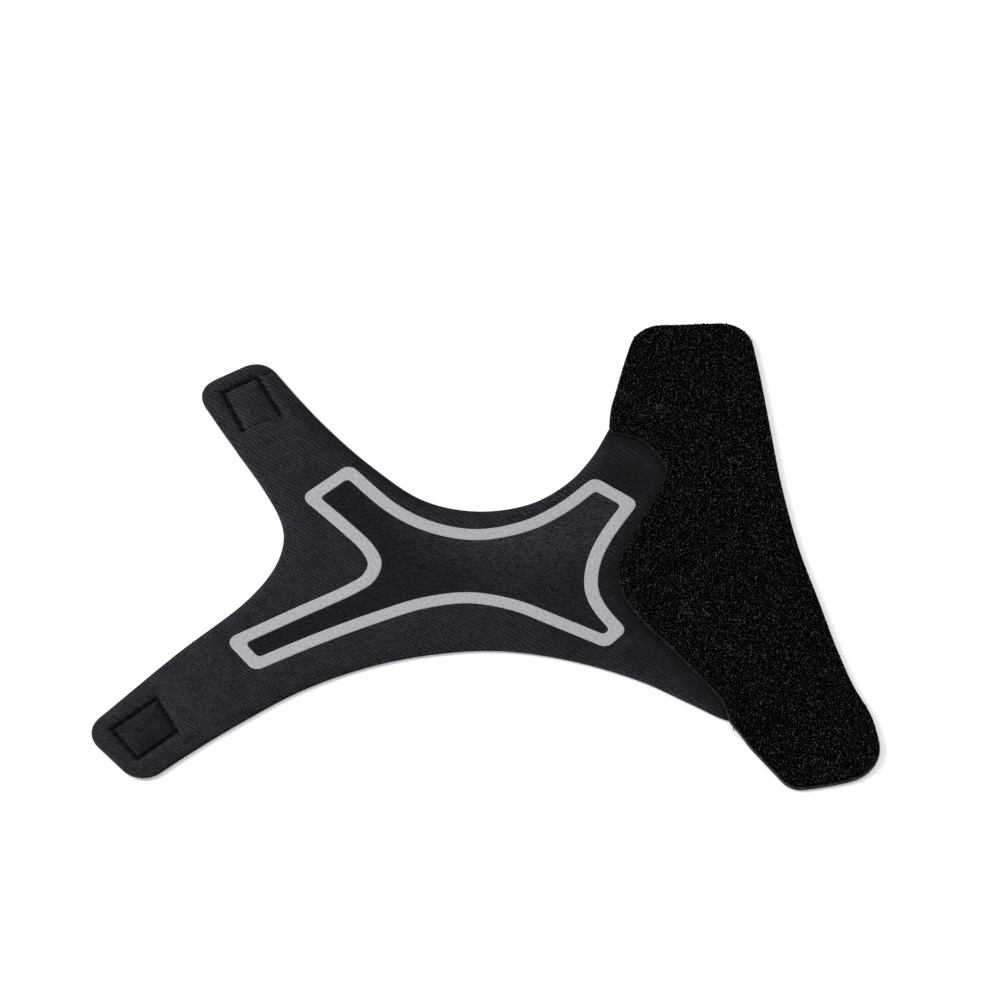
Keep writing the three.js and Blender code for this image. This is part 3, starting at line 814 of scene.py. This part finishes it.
def joined(name, shapes):
    points, faces, start = [], [], 0
    for at, sides, caps in shapes:
        points.append(at)
        faces += [tuple(start + i for i in face) for face in list(sides) + [c[::-1] for c in caps]]
        start += len(at)
    mesh = bpy.data.meshes.new(name)
    mesh.from_pydata((np.vstack(points) * MM).tolist(), [], faces)
    piece = bpy.data.objects.new(name, mesh)
    scene.collection.objects.link(piece)
    hold(piece)
    bpy.ops.object.mode_set(mode="EDIT")
    bpy.ops.mesh.select_all(action="SELECT")
    bpy.ops.mesh.normals_make_consistent(inside=False)
    bpy.ops.object.mode_set(mode="OBJECT")
    bpy.ops.object.shade_smooth()
    print(name, len(mesh.polygons), "faces")
    return piece


hook_path = np.array([(0, 0, 0.72), (0, 0, 0.4), (0.06, 0, 0.2), (0.2, 0, 0.12), (0.32, 0, 0.22)])
hook_at, hook_sides, hook_caps = tube(hook_path, 0.09, 4, 0.6)
print("one hook:", len(hook_sides) + len(hook_caps), "faces")

# %% Two fields of hooks
ROW_STEP, HOOK_STEP = 1.15, 0.95


def hook_rows(name, tab):
    shapes = []
    rows = np.arange(-HOOK_LONG / 2 + 1.6, HOOK_LONG / 2 - 1.4, ROW_STEP)
    for row, u in enumerate(rows):
        for v in np.arange(-HOOK_WIDE / 2 + 1.6, HOOK_WIDE / 2 - 1.4, HOOK_STEP):
            way = 1 if row % 2 else -1
            at = hook_at * (way, 1, 1) + (u, v, 0)
            spot = tab["middle"] + at[:, :1] * tab["out"] + at[:, 1:2] * tab["side"]
            shapes.append((np.c_[spot, at[:, 2]], hook_sides, hook_caps))
    return joined(name, shapes)


hook_fields = [hook_rows("hooks_upper", upper_tab), hook_rows("hooks_lower", lower_tab)]

# %% [markdown]
# ## Thread
# Black thread closes the box on each tab and holds the wing on the arms. A stitch is a short wire that
# dips at both ends, where the needle pulled it in. The same stitch is laid along every line, with a few
# extra ones where the sewing started and stopped, and two cut ends hang out at the wing's lower notch.

# %% Stitches along lines
TAB_HEIGHT = BODY_THICK + HOOK_THICK + GAP
stitch_path = np.array([
    (-1.05, 0, -0.34), (-0.8, 0, -0.02), (-0.3, 0, 0.1), (0.3, 0, 0.1), (0.8, 0, -0.02), (1.05, 0, -0.34),
])
stitch_at, stitch_sides, stitch_caps = tube(stitch_path, 0.17, 6)


def stitch_on(place, heading, height):
    ahead = np.array([math.cos(heading), math.sin(heading)])
    beside = np.array([-ahead[1], ahead[0]])
    spot = np.asarray(place) + stitch_at[:, :1] * ahead + stitch_at[:, 1:2] * beside
    return np.c_[spot, stitch_at[:, 2] + height], stitch_sides, stitch_caps


def box_stitches(tab, order):
    shapes = []
    corners = box_corners(tab)
    for a, b in zip(corners, np.roll(corners, -1, 0)):
        long = np.linalg.norm(b - a)
        heading = math.atan2(b[1] - a[1], b[0] - a[0])
        for walked in np.arange(STITCH_STEP / 2, long, STITCH_STEP):
            spot = a + walked * (b - a) / long
            shapes.append(stitch_on(spot, heading, TAB_HEIGHT - stitch_groove(spot[None])[0] + 0.12))
    for tack in tack_spots if order == 0 else []:
        shapes.append(stitch_on(tack, tab["angle"] - 1.4, TAB_HEIGHT - stitch_groove(tack[None])[0]))
    return shapes


def wing_seam():
    ahead = np.roll(wing_edge, -1, 0) - np.roll(wing_edge, 1, 0)
    ahead /= np.linalg.norm(ahead, axis=1)[:, None]
    line = wing_edge + 2.2 * np.c_[-ahead[:, 1], ahead[:, 0]]
    kept = inside(line, [body_edge]) & (distance_to(line, [body_edge]) > 2)
    heights = pile_floor(line) + 0.55
    return [stitch_on(line[i], math.atan2(ahead[i, 1], ahead[i, 0]), heights[i])
            for i in range(0, len(line), 2) if kept[i]]


def thread_end(start, turn, reach):
    t = np.linspace(0, 1, 7)
    x = start[0] + reach * np.sin(turn + 0.5 * t) * t
    y = start[1] - reach * np.cos(turn + 0.5 * t) * t
    z = 3.4 - 2.8 * t**1.5 + 0.3 * np.sin(5 * t)
    return tube(np.c_[x, y, z], 0.32, 5, 0.6)


loose_ends = [thread_end((119.6, -103.2), -0.35, 3.9), thread_end((119.9, -103.6), -0.2, 3.0)]
sewing_threads = joined(
    "sewing_threads", box_stitches(upper_tab, 0) + box_stitches(lower_tab, 1) + wing_seam() + loose_ends)

# %% [markdown]
# ## Shader groups
# Four effects return in most of the finishes: ribs of knit, a fine fibre grain, wear along a rim, and
# specks of lint. Each is a node group that gives only masks and heights, so every material can place it
# with its own values and keep its own shader.

# %% Small helpers for node trees
def put_node(tree, kind, links=None, **settings):
    made = tree.nodes.new(kind)
    for key, value in settings.items():
        setattr(made, key, value)
    for key, value in (links or {}).items():
        if isinstance(value, bpy.types.NodeSocket):
            tree.links.new(value, made.inputs[key])
        else:
            made.inputs[key].default_value = value
    return made


def sum_node(tree, operation, *values):
    return put_node(tree, "ShaderNodeMath", dict(enumerate(values)), operation=operation).outputs[0]


def new_group(name, inputs, outputs):
    tree = bpy.data.node_groups.new(name, "ShaderNodeTree")
    for label, value in inputs.items():
        kind = "NodeSocketVector" if value is None else "NodeSocketFloat"
        socket = tree.interface.new_socket(label, in_out="INPUT", socket_type=kind)
        if value is not None:
            socket.default_value = value
    for label in outputs:
        tree.interface.new_socket(label, in_out="OUTPUT", socket_type="NodeSocketFloat")
    return tree, put_node(tree, "NodeGroupInput").outputs, put_node(tree, "NodeGroupOutput").inputs


print("helpers: a node, a sum and a group, for shader trees")

# %% [markdown]
# ## Knit ribs
# A rib knit is rows of small loops. Across the rows a wave rises once a rib, along them a weaker wave
# marks each loop, and every loop gets its own chance of being paler. A slow noise lets the rows drift a
# little, as they do when cloth is laid by hand. A picture of cloth would blur close up, and waves don't.

# %% Knit ribs
knit_tree, given, gives = new_group(
    "knit_ribs", {"Place": None, "Rib": 1.45, "Stitch": 1.5, "Drift": 0.35}, ("Height", "Tone"))
scaled = put_node(knit_tree, "ShaderNodeVectorMath", {
    0: given["Place"], 1: (1000, 1000, 1000)}, operation="MULTIPLY")
sway = put_node(knit_tree, "ShaderNodeTexNoise", {"Vector": scaled.outputs[0], "Scale": 0.11, "Detail": 2})
split = put_node(knit_tree, "ShaderNodeSeparateXYZ", {0: scaled.outputs[0]})
swing = sum_node(knit_tree, "MULTIPLY", sum_node(knit_tree, "SUBTRACT", sway.outputs[0], 0.5),
                 sum_node(knit_tree, "MULTIPLY", given["Drift"], 8.0))
across = sum_node(knit_tree, "DIVIDE", sum_node(knit_tree, "ADD", split.outputs["Y"], swing), given["Rib"])
number = sum_node(knit_tree, "FLOOR", across)
ribs = sum_node(knit_tree, "MULTIPLY_ADD", sum_node(knit_tree, "COSINE", sum_node(
    knit_tree, "MULTIPLY_ADD", across, 2 * math.pi, math.pi)), 0.5, 0.5)
shift = sum_node(knit_tree, "MULTIPLY", number, 0.37)
run = sum_node(knit_tree, "ADD", sum_node(knit_tree, "DIVIDE", split.outputs["X"], given["Stitch"]), shift)
loops = sum_node(knit_tree, "MULTIPLY_ADD", sum_node(knit_tree, "COSINE", sum_node(
    knit_tree, "MULTIPLY", run, 2 * math.pi)), 0.5, 0.5)
cell = put_node(knit_tree, "ShaderNodeCombineXYZ", {0: sum_node(knit_tree, "FLOOR", run), 1: number})
chance = put_node(knit_tree, "ShaderNodeTexWhiteNoise", {0: cell.outputs[0]}, noise_dimensions="2D")
weave = sum_node(knit_tree, "MULTIPLY", ribs, sum_node(knit_tree, "MULTIPLY_ADD", loops, 0.4, 0.6))
knit_tree.links.new(weave, gives["Height"])
knit_tree.links.new(sum_node(knit_tree, "MULTIPLY", weave, sum_node(
    knit_tree, "MULTIPLY_ADD", chance.outputs[0], 0.9, 0.55)), gives["Tone"])
print("knit group puts out:", list(gives.keys())[:2])

# %% [markdown]
# ## Fibre grain, rim wear and lint
# Fibres show as a fine noise, and unevenness of the cloth as a wide one. A rim is rubbed paler in patches,
# so the rim's number is multiplied by a noise. Lint is a rare cell of a Voronoi pattern, shrunk to a dot.

# %% Fibre grain, rim wear and lint
grain_tree, given, gives = new_group("fibre_grain", {"Place": None, "Size": 0.5}, ("Grain", "Cloud"))
spread = sum_node(grain_tree, "DIVIDE", 1000.0, given["Size"])
fine = put_node(grain_tree, "ShaderNodeTexNoise", {
    "Vector": given["Place"], "Scale": spread, "Detail": 2, "Roughness": 0.6})
cloud = put_node(grain_tree, "ShaderNodeTexNoise", {"Vector": given["Place"], "Scale": 38.0, "Detail": 3})
grain_tree.links.new(fine.outputs[0], gives["Grain"])
grain_tree.links.new(cloud.outputs[0], gives["Cloud"])

wear_tree, given, gives = new_group("rim_wear", {"Place": None, "Rim": 0.0, "Amount": 0.5}, ("Wear",))
patchy = put_node(wear_tree, "ShaderNodeTexNoise", {"Vector": given["Place"], "Scale": 420.0, "Detail": 3})
rubbed = put_node(wear_tree, "ShaderNodeMapRange", {
    "Value": patchy.outputs[0], "From Min": 0.42, "From Max": 0.66})
wear_tree.links.new(sum_node(wear_tree, "MULTIPLY", sum_node(
    wear_tree, "MULTIPLY", given["Rim"], given["Amount"]), rubbed.outputs[0]), gives["Wear"])

lint_tree, given, gives = new_group("lint_specks", {"Place": None, "Few": 0.985}, ("Lint",))
cells = put_node(lint_tree, "ShaderNodeTexVoronoi", {
    "Vector": given["Place"], "Scale": 420.0}, feature="F1")
pick = put_node(lint_tree, "ShaderNodeSeparateColor", {0: cells.outputs["Color"]})
rare = sum_node(lint_tree, "GREATER_THAN", pick.outputs[0], given["Few"])
small = put_node(lint_tree, "ShaderNodeMapRange", {
    "Value": cells.outputs["Distance"], "From Min": 0.16, "From Max": 0.28, "To Min": 1.0, "To Max": 0.0})
lint_tree.links.new(sum_node(lint_tree, "MULTIPLY", rare, small.outputs[0]), gives["Lint"])
print("shader groups:", [tree.name for tree in (knit_tree, grain_tree, wear_tree, lint_tree)])


# %% [markdown]
# ## Finishes
# Every finish mixes two or three close colours by the masks of the groups, and drives a Bump node with
# their heights. Dark knit still needs that range: ribs catch the light, the gaps between them stay
# nearly black, and the rim is a little paler where it is rubbed.

# %% Building blocks of a finish
def new_finish(name, **sockets):
    finish = bpy.data.materials.new(name)
    finish.use_nodes = True
    tree = finish.node_tree
    tree.nodes.clear()
    shader = put_node(tree, "ShaderNodeBsdfPrincipled", sockets)
    put_node(tree, "ShaderNodeOutputMaterial", {"Surface": shader.outputs[0]})
    place = put_node(tree, "ShaderNodeTexCoord").outputs["Object"]
    return finish, tree, shader, place


def use_group(tree, group, links):
    return put_node(tree, "ShaderNodeGroup", links, node_tree=group).outputs


def mix_colour(tree, factor, first, second):
    made = put_node(tree, "ShaderNodeMix", data_type="RGBA")
    for socket, value in ((made.inputs[0], factor), (made.inputs[6], first), (made.inputs[7], second)):
        if isinstance(value, bpy.types.NodeSocket):
            tree.links.new(value, socket)
        else:
            socket.default_value = value if not isinstance(value, tuple) else (*value, 1)
    return made.outputs[2]


def tinted(tree, mask, share, colour, towards):
    return mix_colour(tree, sum_node(tree, "MULTIPLY", mask, share), colour, towards)


def lay_finish(tree, shader, colour, rough, bump):
    mask, slope, base = rough
    height, depth, strength = bump
    relief = put_node(tree, "ShaderNodeBump", {
        "Height": height, "Distance": depth * MM, "Strength": strength})
    tree.links.new(colour, shader.inputs["Base Color"])
    tree.links.new(sum_node(tree, "MULTIPLY_ADD", mask, slope, base), shader.inputs["Roughness"])
    tree.links.new(relief.outputs[0], shader.inputs["Normal"])


def read_mask(tree, name):
    return put_node(tree, "ShaderNodeAttribute", attribute_name=name).outputs["Fac"]


def from_range(tree, value, low, high, **targets):
    ends = {"Value": value, "From Min": low, "From Max": high}
    ends.update({f"To {key.title()}": target for key, target in targets.items()})
    return put_node(tree, "ShaderNodeMapRange", ends).outputs[0]


print("a finish is a Principled shader fed by masks")

# %% [markdown]
# ## Ribbed knit of the body
# The body's knit is black with a violet cast, in slanting ribs that get wider towards the top. The ribs
# are turned and stretched before the group reads them. The masks on the points paint light where it leans
# to the left and shade in the grooves and beside the wing, and it is patchy over a few millimetres, as a
# laminate is. A painted light falloff makes it darker towards the right.

# %% Ribbed knit
ribbed_knit, tree, shader, place = new_finish("ribbed_knit", **{
    "Sheen Weight": 0.06, "Sheen Roughness": 0.4, "Sheen Tint": (0.8, 0.78, 0.9, 1),
    "Specular IOR Level": 0.08})
turned = put_node(tree, "ShaderNodeMapping", {
    "Vector": place, "Rotation": (0, 0, math.radians(36))}).outputs[0]
split = put_node(tree, "ShaderNodeSeparateXYZ", {0: turned}).outputs
widened = sum_node(tree, "MULTIPLY", sum_node(tree, "LOGARITHM", sum_node(
    tree, "MULTIPLY_ADD", split["Y"], 1.455, 1.0), math.e), 0.5806)
stretched = put_node(tree, "ShaderNodeCombineXYZ", {0: split["X"], 1: widened, 2: split["Z"]}).outputs[0]
knit = use_group(tree, knit_tree, {"Place": stretched, "Rib": 1.8, "Stitch": 2.3, "Drift": 0.3})
mottle = use_group(tree, grain_tree, {"Place": place, "Size": 5.0})["Grain"]
grain = use_group(tree, grain_tree, {"Place": place, "Size": 0.6})
wear = use_group(tree, wear_tree, {"Place": place, "Rim": read_mask(tree, "rim"), "Amount": 0.5})
lint = use_group(tree, lint_tree, {"Place": place, "Few": 0.985})
flecks = from_range(tree, grain["Grain"], 0.37, 0.64)
tone = sum_node(tree, "ADD", sum_node(tree, "MULTIPLY", knit["Tone"], 0.42), sum_node(
    tree, "MULTIPLY", flecks, 0.68))
reach = put_node(tree, "ShaderNodeSeparateXYZ", {0: place}).outputs["X"]
# Painted light falloff: the knit is darker towards the right.
painted_falloff = from_range(tree, reach, -0.14, 0.08, min=1.0, max=0.86)
lean_light_shade = sum_node(tree, "MULTIPLY_ADD", read_mask(tree, "lean_light_shade"), 0.47, painted_falloff)
tone = sum_node(tree, "MULTIPLY", tone, sum_node(tree, "MULTIPLY", lean_light_shade, sum_node(
    tree, "MULTIPLY_ADD", mottle, 1.1, 0.44)))
colour = mix_colour(tree, tone, (0.0003, 0.0003, 0.0008), (0.0358, 0.0340, 0.0452))
colour = tinted(tree, grain["Cloud"], 0.08, colour, (0.0140, 0.0133, 0.0176))
colour = mix_colour(tree, wear["Wear"], colour, (0.034, 0.032, 0.04))
# Painted shade: the groove mask darkens the stitch grooves and the places beside the wing.
colour = tinted(tree, read_mask(tree, "groove"), 0.95, colour, (0.0015, 0.0015, 0.002))
colour = tinted(tree, lint["Lint"], 0.3, colour, (0.05, 0.049, 0.054))
lay_finish(tree, shader, colour, rough=(knit["Tone"], -0.15, 0.92),
           bump=(sum_node(tree, "MULTIPLY_ADD", grain["Grain"], 0.8, knit["Height"]), 0.14, 0.8))
print(ribbed_knit.name, len(tree.nodes), "nodes")

# %% [markdown]
# ## Fine knit of the centre
# The centre is closer knit, with short streaks along its rows. A painted sheen makes it nearly black at
# the left and greyer towards the upper right, along a slanting line, so two ranges of the place are
# multiplied. Around its middle a painted sheen makes it a little paler, which a distance from there gives.

# %% Fine knit of the centre
fine_knit, tree, shader, place = new_finish("fine_knit", **{
    "Sheen Weight": 0.05, "Sheen Roughness": 0.4, "Sheen Tint": (0.75, 0.75, 0.9, 1),
    "Specular IOR Level": 0.1})
knit = use_group(tree, knit_tree, {"Place": place, "Rib": 1.35, "Stitch": 2.6, "Drift": 0.5})
grain = use_group(tree, grain_tree, {"Place": place, "Size": 0.8})
wear = use_group(tree, wear_tree, {"Place": place, "Rim": read_mask(tree, "rim"), "Amount": 0.4})
lint = use_group(tree, lint_tree, {"Place": place, "Few": 0.988})
long_way = put_node(tree, "ShaderNodeMapping", {"Vector": place, "Scale": (1, 1.7, 1)}).outputs[0]
streak = put_node(tree, "ShaderNodeTexNoise", {
    "Vector": long_way, "Scale": 800.0, "Detail": 2, "Roughness": 0.6}).outputs[0]
reach = put_node(tree, "ShaderNodeSeparateXYZ", {0: place}).outputs
# Painted sheen: greyer towards the upper right and paler around the middle.
slant = sum_node(tree, "MULTIPLY_ADD", reach["Y"], 0.6, reach["X"])
along = from_range(tree, slant, -0.045, -0.008)
upward = from_range(tree, reach["Y"], -0.014, 0.006, min=0.2)
painted_sheen = sum_node(tree, "MULTIPLY", along, upward)
from_middle = put_node(tree, "ShaderNodeVectorMath", {
    0: place, 1: (0.014, -0.002, 0)}, operation="DISTANCE").outputs["Value"]
middle_sheen = from_range(tree, from_middle, 0.008, 0.034, min=1.36, max=1.0)
tone = sum_node(tree, "MULTIPLY", sum_node(tree, "MULTIPLY_ADD", knit["Tone"], 0.6, 0.4), sum_node(
    tree, "MULTIPLY", middle_sheen, sum_node(tree, "MULTIPLY_ADD", streak, 4.0, -1.32)))
pale = mix_colour(tree, painted_sheen, (0.0144, 0.0138, 0.0198), (0.0395, 0.0380, 0.0500))
colour = mix_colour(tree, tone, (0.0015, 0.0015, 0.0027), pale)
colour = mix_colour(tree, wear["Wear"], colour, (0.03, 0.029, 0.036))
colour = tinted(tree, lint["Lint"], 0.3, colour, (0.05, 0.05, 0.056))
lay_finish(tree, shader, colour, rough=(grain["Grain"], 0.2, 0.68),
           bump=(sum_node(tree, "MULTIPLY_ADD", grain["Grain"], 0.5, knit["Height"]), 0.09, 0.8))
print(fine_knit.name, len(tree.nodes), "nodes")

# %% [markdown]
# ## Film of the band
# Reflective film holds tiny glass beads in a grey binder. Under soft light it is a plain grey, with painted
# shade a little darker to the right, and a fine speckle where beads have gone. A noise of about a millimetre
# gives the speckle, and Voronoi cells give the beads, as a shallow bump.

# %% Film of the band
band_film, tree, shader, place = new_finish("reflective_film", **{"Specular IOR Level": 0.5})
grain = use_group(tree, grain_tree, {"Place": place, "Size": 0.35})
beads = put_node(tree, "ShaderNodeTexVoronoi", {"Vector": place, "Scale": 1900.0}).outputs["Distance"]
wear = use_group(tree, wear_tree, {"Place": place, "Rim": read_mask(tree, "rim"), "Amount": 0.7})
colour = mix_colour(tree, grain["Grain"], (0.362, 0.359, 0.388), (0.562, 0.557, 0.594))
colour = tinted(tree, grain["Cloud"], 0.4, colour, (0.445, 0.440, 0.472))
reach = put_node(tree, "ShaderNodeSeparateXYZ", {0: place}).outputs["X"]
# Painted light falloff: the film is a little darker towards the right.
painted_falloff = from_range(tree, reach, -0.13, 0.06, max=0.2)
colour = mix_colour(tree, painted_falloff, colour, (0.41, 0.408, 0.435))
coarse = use_group(tree, grain_tree, {"Place": place, "Size": 1.1})["Grain"]
speckle = from_range(tree, coarse, 0.36, 0.64, max=0.5)
colour = mix_colour(tree, speckle, colour, (0.22, 0.218, 0.234))
colour = mix_colour(tree, wear["Wear"], colour, (0.27, 0.265, 0.285))
lay_finish(tree, shader, colour, rough=(grain["Grain"], 0.3, 0.38),
           bump=(sum_node(tree, "MULTIPLY_ADD", beads, 0.6, grain["Grain"]), 0.05, 0.6))
print(band_film.name, len(tree.nodes), "nodes")

# %% [markdown]
# ## Foam laminate of the wing
# The wing's foam is covered by thin dark cloth, and its cut edge shows the paler core. The rim's number
# mixes the core in, with grain and rubbed patches, so the pale line is uneven as a cut one is.

# %% Foam laminate of the wing
foam_laminate, tree, shader, place = new_finish("foam_laminate", **{"Specular IOR Level": 0.08})
grain = use_group(tree, grain_tree, {"Place": place, "Size": 0.5})
wear = use_group(tree, wear_tree, {"Place": place, "Rim": read_mask(tree, "rim"), "Amount": 1.0})
knit = use_group(tree, knit_tree, {"Place": place, "Rib": 1.1, "Stitch": 1.2, "Drift": 0.2})
grainy = sum_node(tree, "MULTIPLY_ADD", grain["Grain"], 0.6, 0.55)
core = sum_node(tree, "MULTIPLY", read_mask(tree, "rim"), grainy)
colour = mix_colour(tree, knit["Tone"], (0.0015, 0.0015, 0.0019), (0.0085, 0.0085, 0.0095))
colour = mix_colour(tree, core, colour, (0.034, 0.0335, 0.038))
colour = mix_colour(tree, wear["Wear"], colour, (0.075, 0.074, 0.082))
lay_finish(tree, shader, colour, rough=(grain["Cloud"], 0.1, 0.85),
           bump=(sum_node(tree, "MULTIPLY_ADD", grain["Grain"], 0.8, knit["Height"]), 0.12, 0.8))
print(foam_laminate.name, len(tree.nodes), "nodes")

# %% [markdown]
# ## Loop pile and its backing
# Black nylon loops are nearly black, and a few are made pale as painted glints of light on them, which
# makes the pile look speckled. Each loop's own chance number is raised to a power, so few are pale, and a
# noise of three millimetres gathers them in tufts. The backing under them is almost without colour or shine.

# %% Loop pile and its backing
loop_pile, tree, shader, place = new_finish("loop_pile", **{"Specular IOR Level": 0.14})
grain = use_group(tree, grain_tree, {"Place": place, "Size": 0.3})
tuft = use_group(tree, grain_tree, {"Place": place, "Size": 3.2})["Grain"]
# Pale loops are painted glints of light on the loops.
few = from_range(tree, read_mask(tree, "tone"), 0.2, 1.0)
painted_glint = sum_node(tree, "MULTIPLY", sum_node(tree, "POWER", few, 1.4), sum_node(
    tree, "MULTIPLY_ADD", tuft, 4.6, -1.35))
colour = mix_colour(tree, painted_glint, (0.0050, 0.0050, 0.0054), (0.075, 0.075, 0.077))
colour = tinted(tree, grain["Grain"], 0.4, colour, (0.002, 0.002, 0.0022))
lay_finish(tree, shader, colour, rough=(grain["Grain"], 0.2, 0.38),
           bump=(grain["Grain"], 0.03, 0.4))

pile_ground, tree, shader, place = new_finish("pile_ground", **{"Specular IOR Level": 0.0, "IOR": 1.05})
grain = use_group(tree, grain_tree, {"Place": place, "Size": 0.5})
lint = use_group(tree, lint_tree, {"Place": place, "Few": 0.99})
colour = mix_colour(tree, grain["Grain"], (0.0002, 0.0002, 0.0003), (0.0015, 0.0015, 0.0017))
colour = tinted(tree, lint["Lint"], 0.2, colour, (0.03, 0.03, 0.032))
lay_finish(tree, shader, colour, rough=(grain["Cloud"], 0.1, 0.88),
           bump=(grain["Grain"], 0.2, 0.8))
print(loop_pile.name, "and", pile_ground.name, "are ready")

# %% [markdown]
# ## Hook tape and thread
# Hook tape is moulded black plastic with a dull shine, and the thread is spun, so it is rougher. Both are
# small, and a grain and a bump are enough.

# %% Hook tape and thread
hook_tape, tree, shader, place = new_finish("hook_tape", **{"Specular IOR Level": 0.5})
grain = use_group(tree, grain_tree, {"Place": place, "Size": 0.8})
colour = mix_colour(tree, grain["Grain"], (0.006, 0.006, 0.007), (0.02, 0.02, 0.022))
colour = tinted(tree, grain["Cloud"], 0.4, colour, (0.012, 0.012, 0.013))
lay_finish(tree, shader, colour, rough=(grain["Grain"], 0.2, 0.35),
           bump=(grain["Grain"], 0.05, 0.5))

sewing_thread, tree, shader, place = new_finish("sewing_thread", **{"Specular IOR Level": 0.12})
grain = use_group(tree, grain_tree, {"Place": place, "Size": 0.25})
colour = mix_colour(tree, grain["Grain"], (0.0012, 0.0012, 0.0016), (0.007, 0.0068, 0.008))
lay_finish(tree, shader, colour, rough=(grain["Cloud"], 0.15, 0.5),
           bump=(grain["Grain"], 0.06, 0.6))
print("finishes:", [finish.name for finish in bpy.data.materials if finish.use_nodes])

# %% [markdown]
# ## Putting the pieces on the frame
# Every piece rides on the one body of this part. A piece that stands for a CAD node replaces it, and
# takes the finish that it is given.

# %% Riding and replacing
dressed = []


def dress(piece, finish, stands_for=None):
    dressed.append(piece.name)
    piece.data.materials.clear()
    piece.data.materials.append(finish)
    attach(piece, "root")
    if stands_for:
        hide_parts(stands_for)


dress(knit_body, ribbed_knit, "body_panel")
dress(centre_panel, fine_knit, "centre_panel")
dress(film_band, band_film, "reflective_border")
dress(wing_base, foam_laminate, "wing_base")
dress(pile_backing, pile_ground, "wing_loop_face")
for strip in pile_loops:
    dress(strip, loop_pile)
for plate, field, name in zip(hook_plates, hook_fields, ("hook_patch_upper", "hook_patch_lower")):
    dress(plate, hook_tape, name)
    dress(field, hook_tape)
dress(sewing_threads, sewing_thread)

print("dressed pieces:", len(dressed))

# %% [markdown]
# ## Table, light and camera
# The wrap lies on a plain white table under large soft lights, one of them stronger from the left, which
# gives the left rims their paler line. The camera stands four metres off with a long lens, 53 degrees
# above the table, so the wrap is foreshortened as in the photograph.

# %% Table
bpy.ops.object.select_all(action="DESELECT")
bpy.ops.mesh.primitive_grid_add(x_subdivisions=8, y_subdivisions=8, size=14, location=(0, 0, -0.0004))
table = bpy.context.active_object
table.name = "table"
bpy.ops.object.transform_apply(location=True, rotation=False, scale=False)
table_paint, tree, shader, place = new_finish("table_paint", **{"Specular IOR Level": 0.1})
cloud = put_node(tree, "ShaderNodeTexNoise", {"Vector": place, "Scale": 1.5, "Detail": 2})
colour = mix_colour(tree, cloud.outputs[0], (0.945, 0.945, 0.95), (0.965, 0.965, 0.965))
tree.links.new(colour, shader.inputs["Base Color"])
shader.inputs["Roughness"].default_value = 0.9
shader.inputs["Emission Color"].default_value = (1, 1, 1, 1)
shader.inputs["Emission Strength"].default_value = 0.25
table.data.materials.append(table_paint)
print("table:", len(table.data.polygons), "faces")


# %% Lights
def soft_light(name, place, size, power):
    lamp = bpy.data.lights.new(name, "AREA")
    lamp.size, lamp.energy, lamp.shape = size, power, "DISK"
    holder = bpy.data.objects.new(name, lamp)
    scene.collection.objects.link(holder)
    holder.location = place
    holder.rotation_euler = (-Vector(place)).to_track_quat("-Z", "Y").to_euler()
    return holder


soft_light("left_light", (-2.6, 0.4, 1.9), 1.8, 86)
soft_light("top_light", (0.5, 0.5, 3.4), 3.0, 28)
soft_light("front_light", (0.7, -2.6, 2.6), 2.0, 10)
world = bpy.data.worlds.new("pale_room")
world.use_nodes = True
world.node_tree.nodes["Background"].inputs[0].default_value = (1, 1, 1, 1)
world.node_tree.nodes["Background"].inputs[1].default_value = 0.36
scene.world = world
scene.view_settings.view_transform = "Standard"

# %% Camera
AIM_X, AIM_Y, CAMERA_BACK, CAMERA_HIGH, CAMERA_ANGLE = 0.00699, 0.03273, 2.4, 3.2, 53.13
camera = bpy.data.objects.new("camera", bpy.data.cameras.new("camera"))
scene.collection.objects.link(camera)
camera.data.lens, camera.data.sensor_width = 291.86, 36
camera.data.clip_end = 60
camera.location = (AIM_X, AIM_Y - CAMERA_BACK, CAMERA_HIGH)
camera.rotation_euler = (math.radians(90 - CAMERA_ANGLE), 0, 0)
camera.data.dof.use_dof = False
scene.camera = camera
print("camera looks down at", CAMERA_ANGLE, "degrees, with a lens of", round(camera.data.lens), "mm")
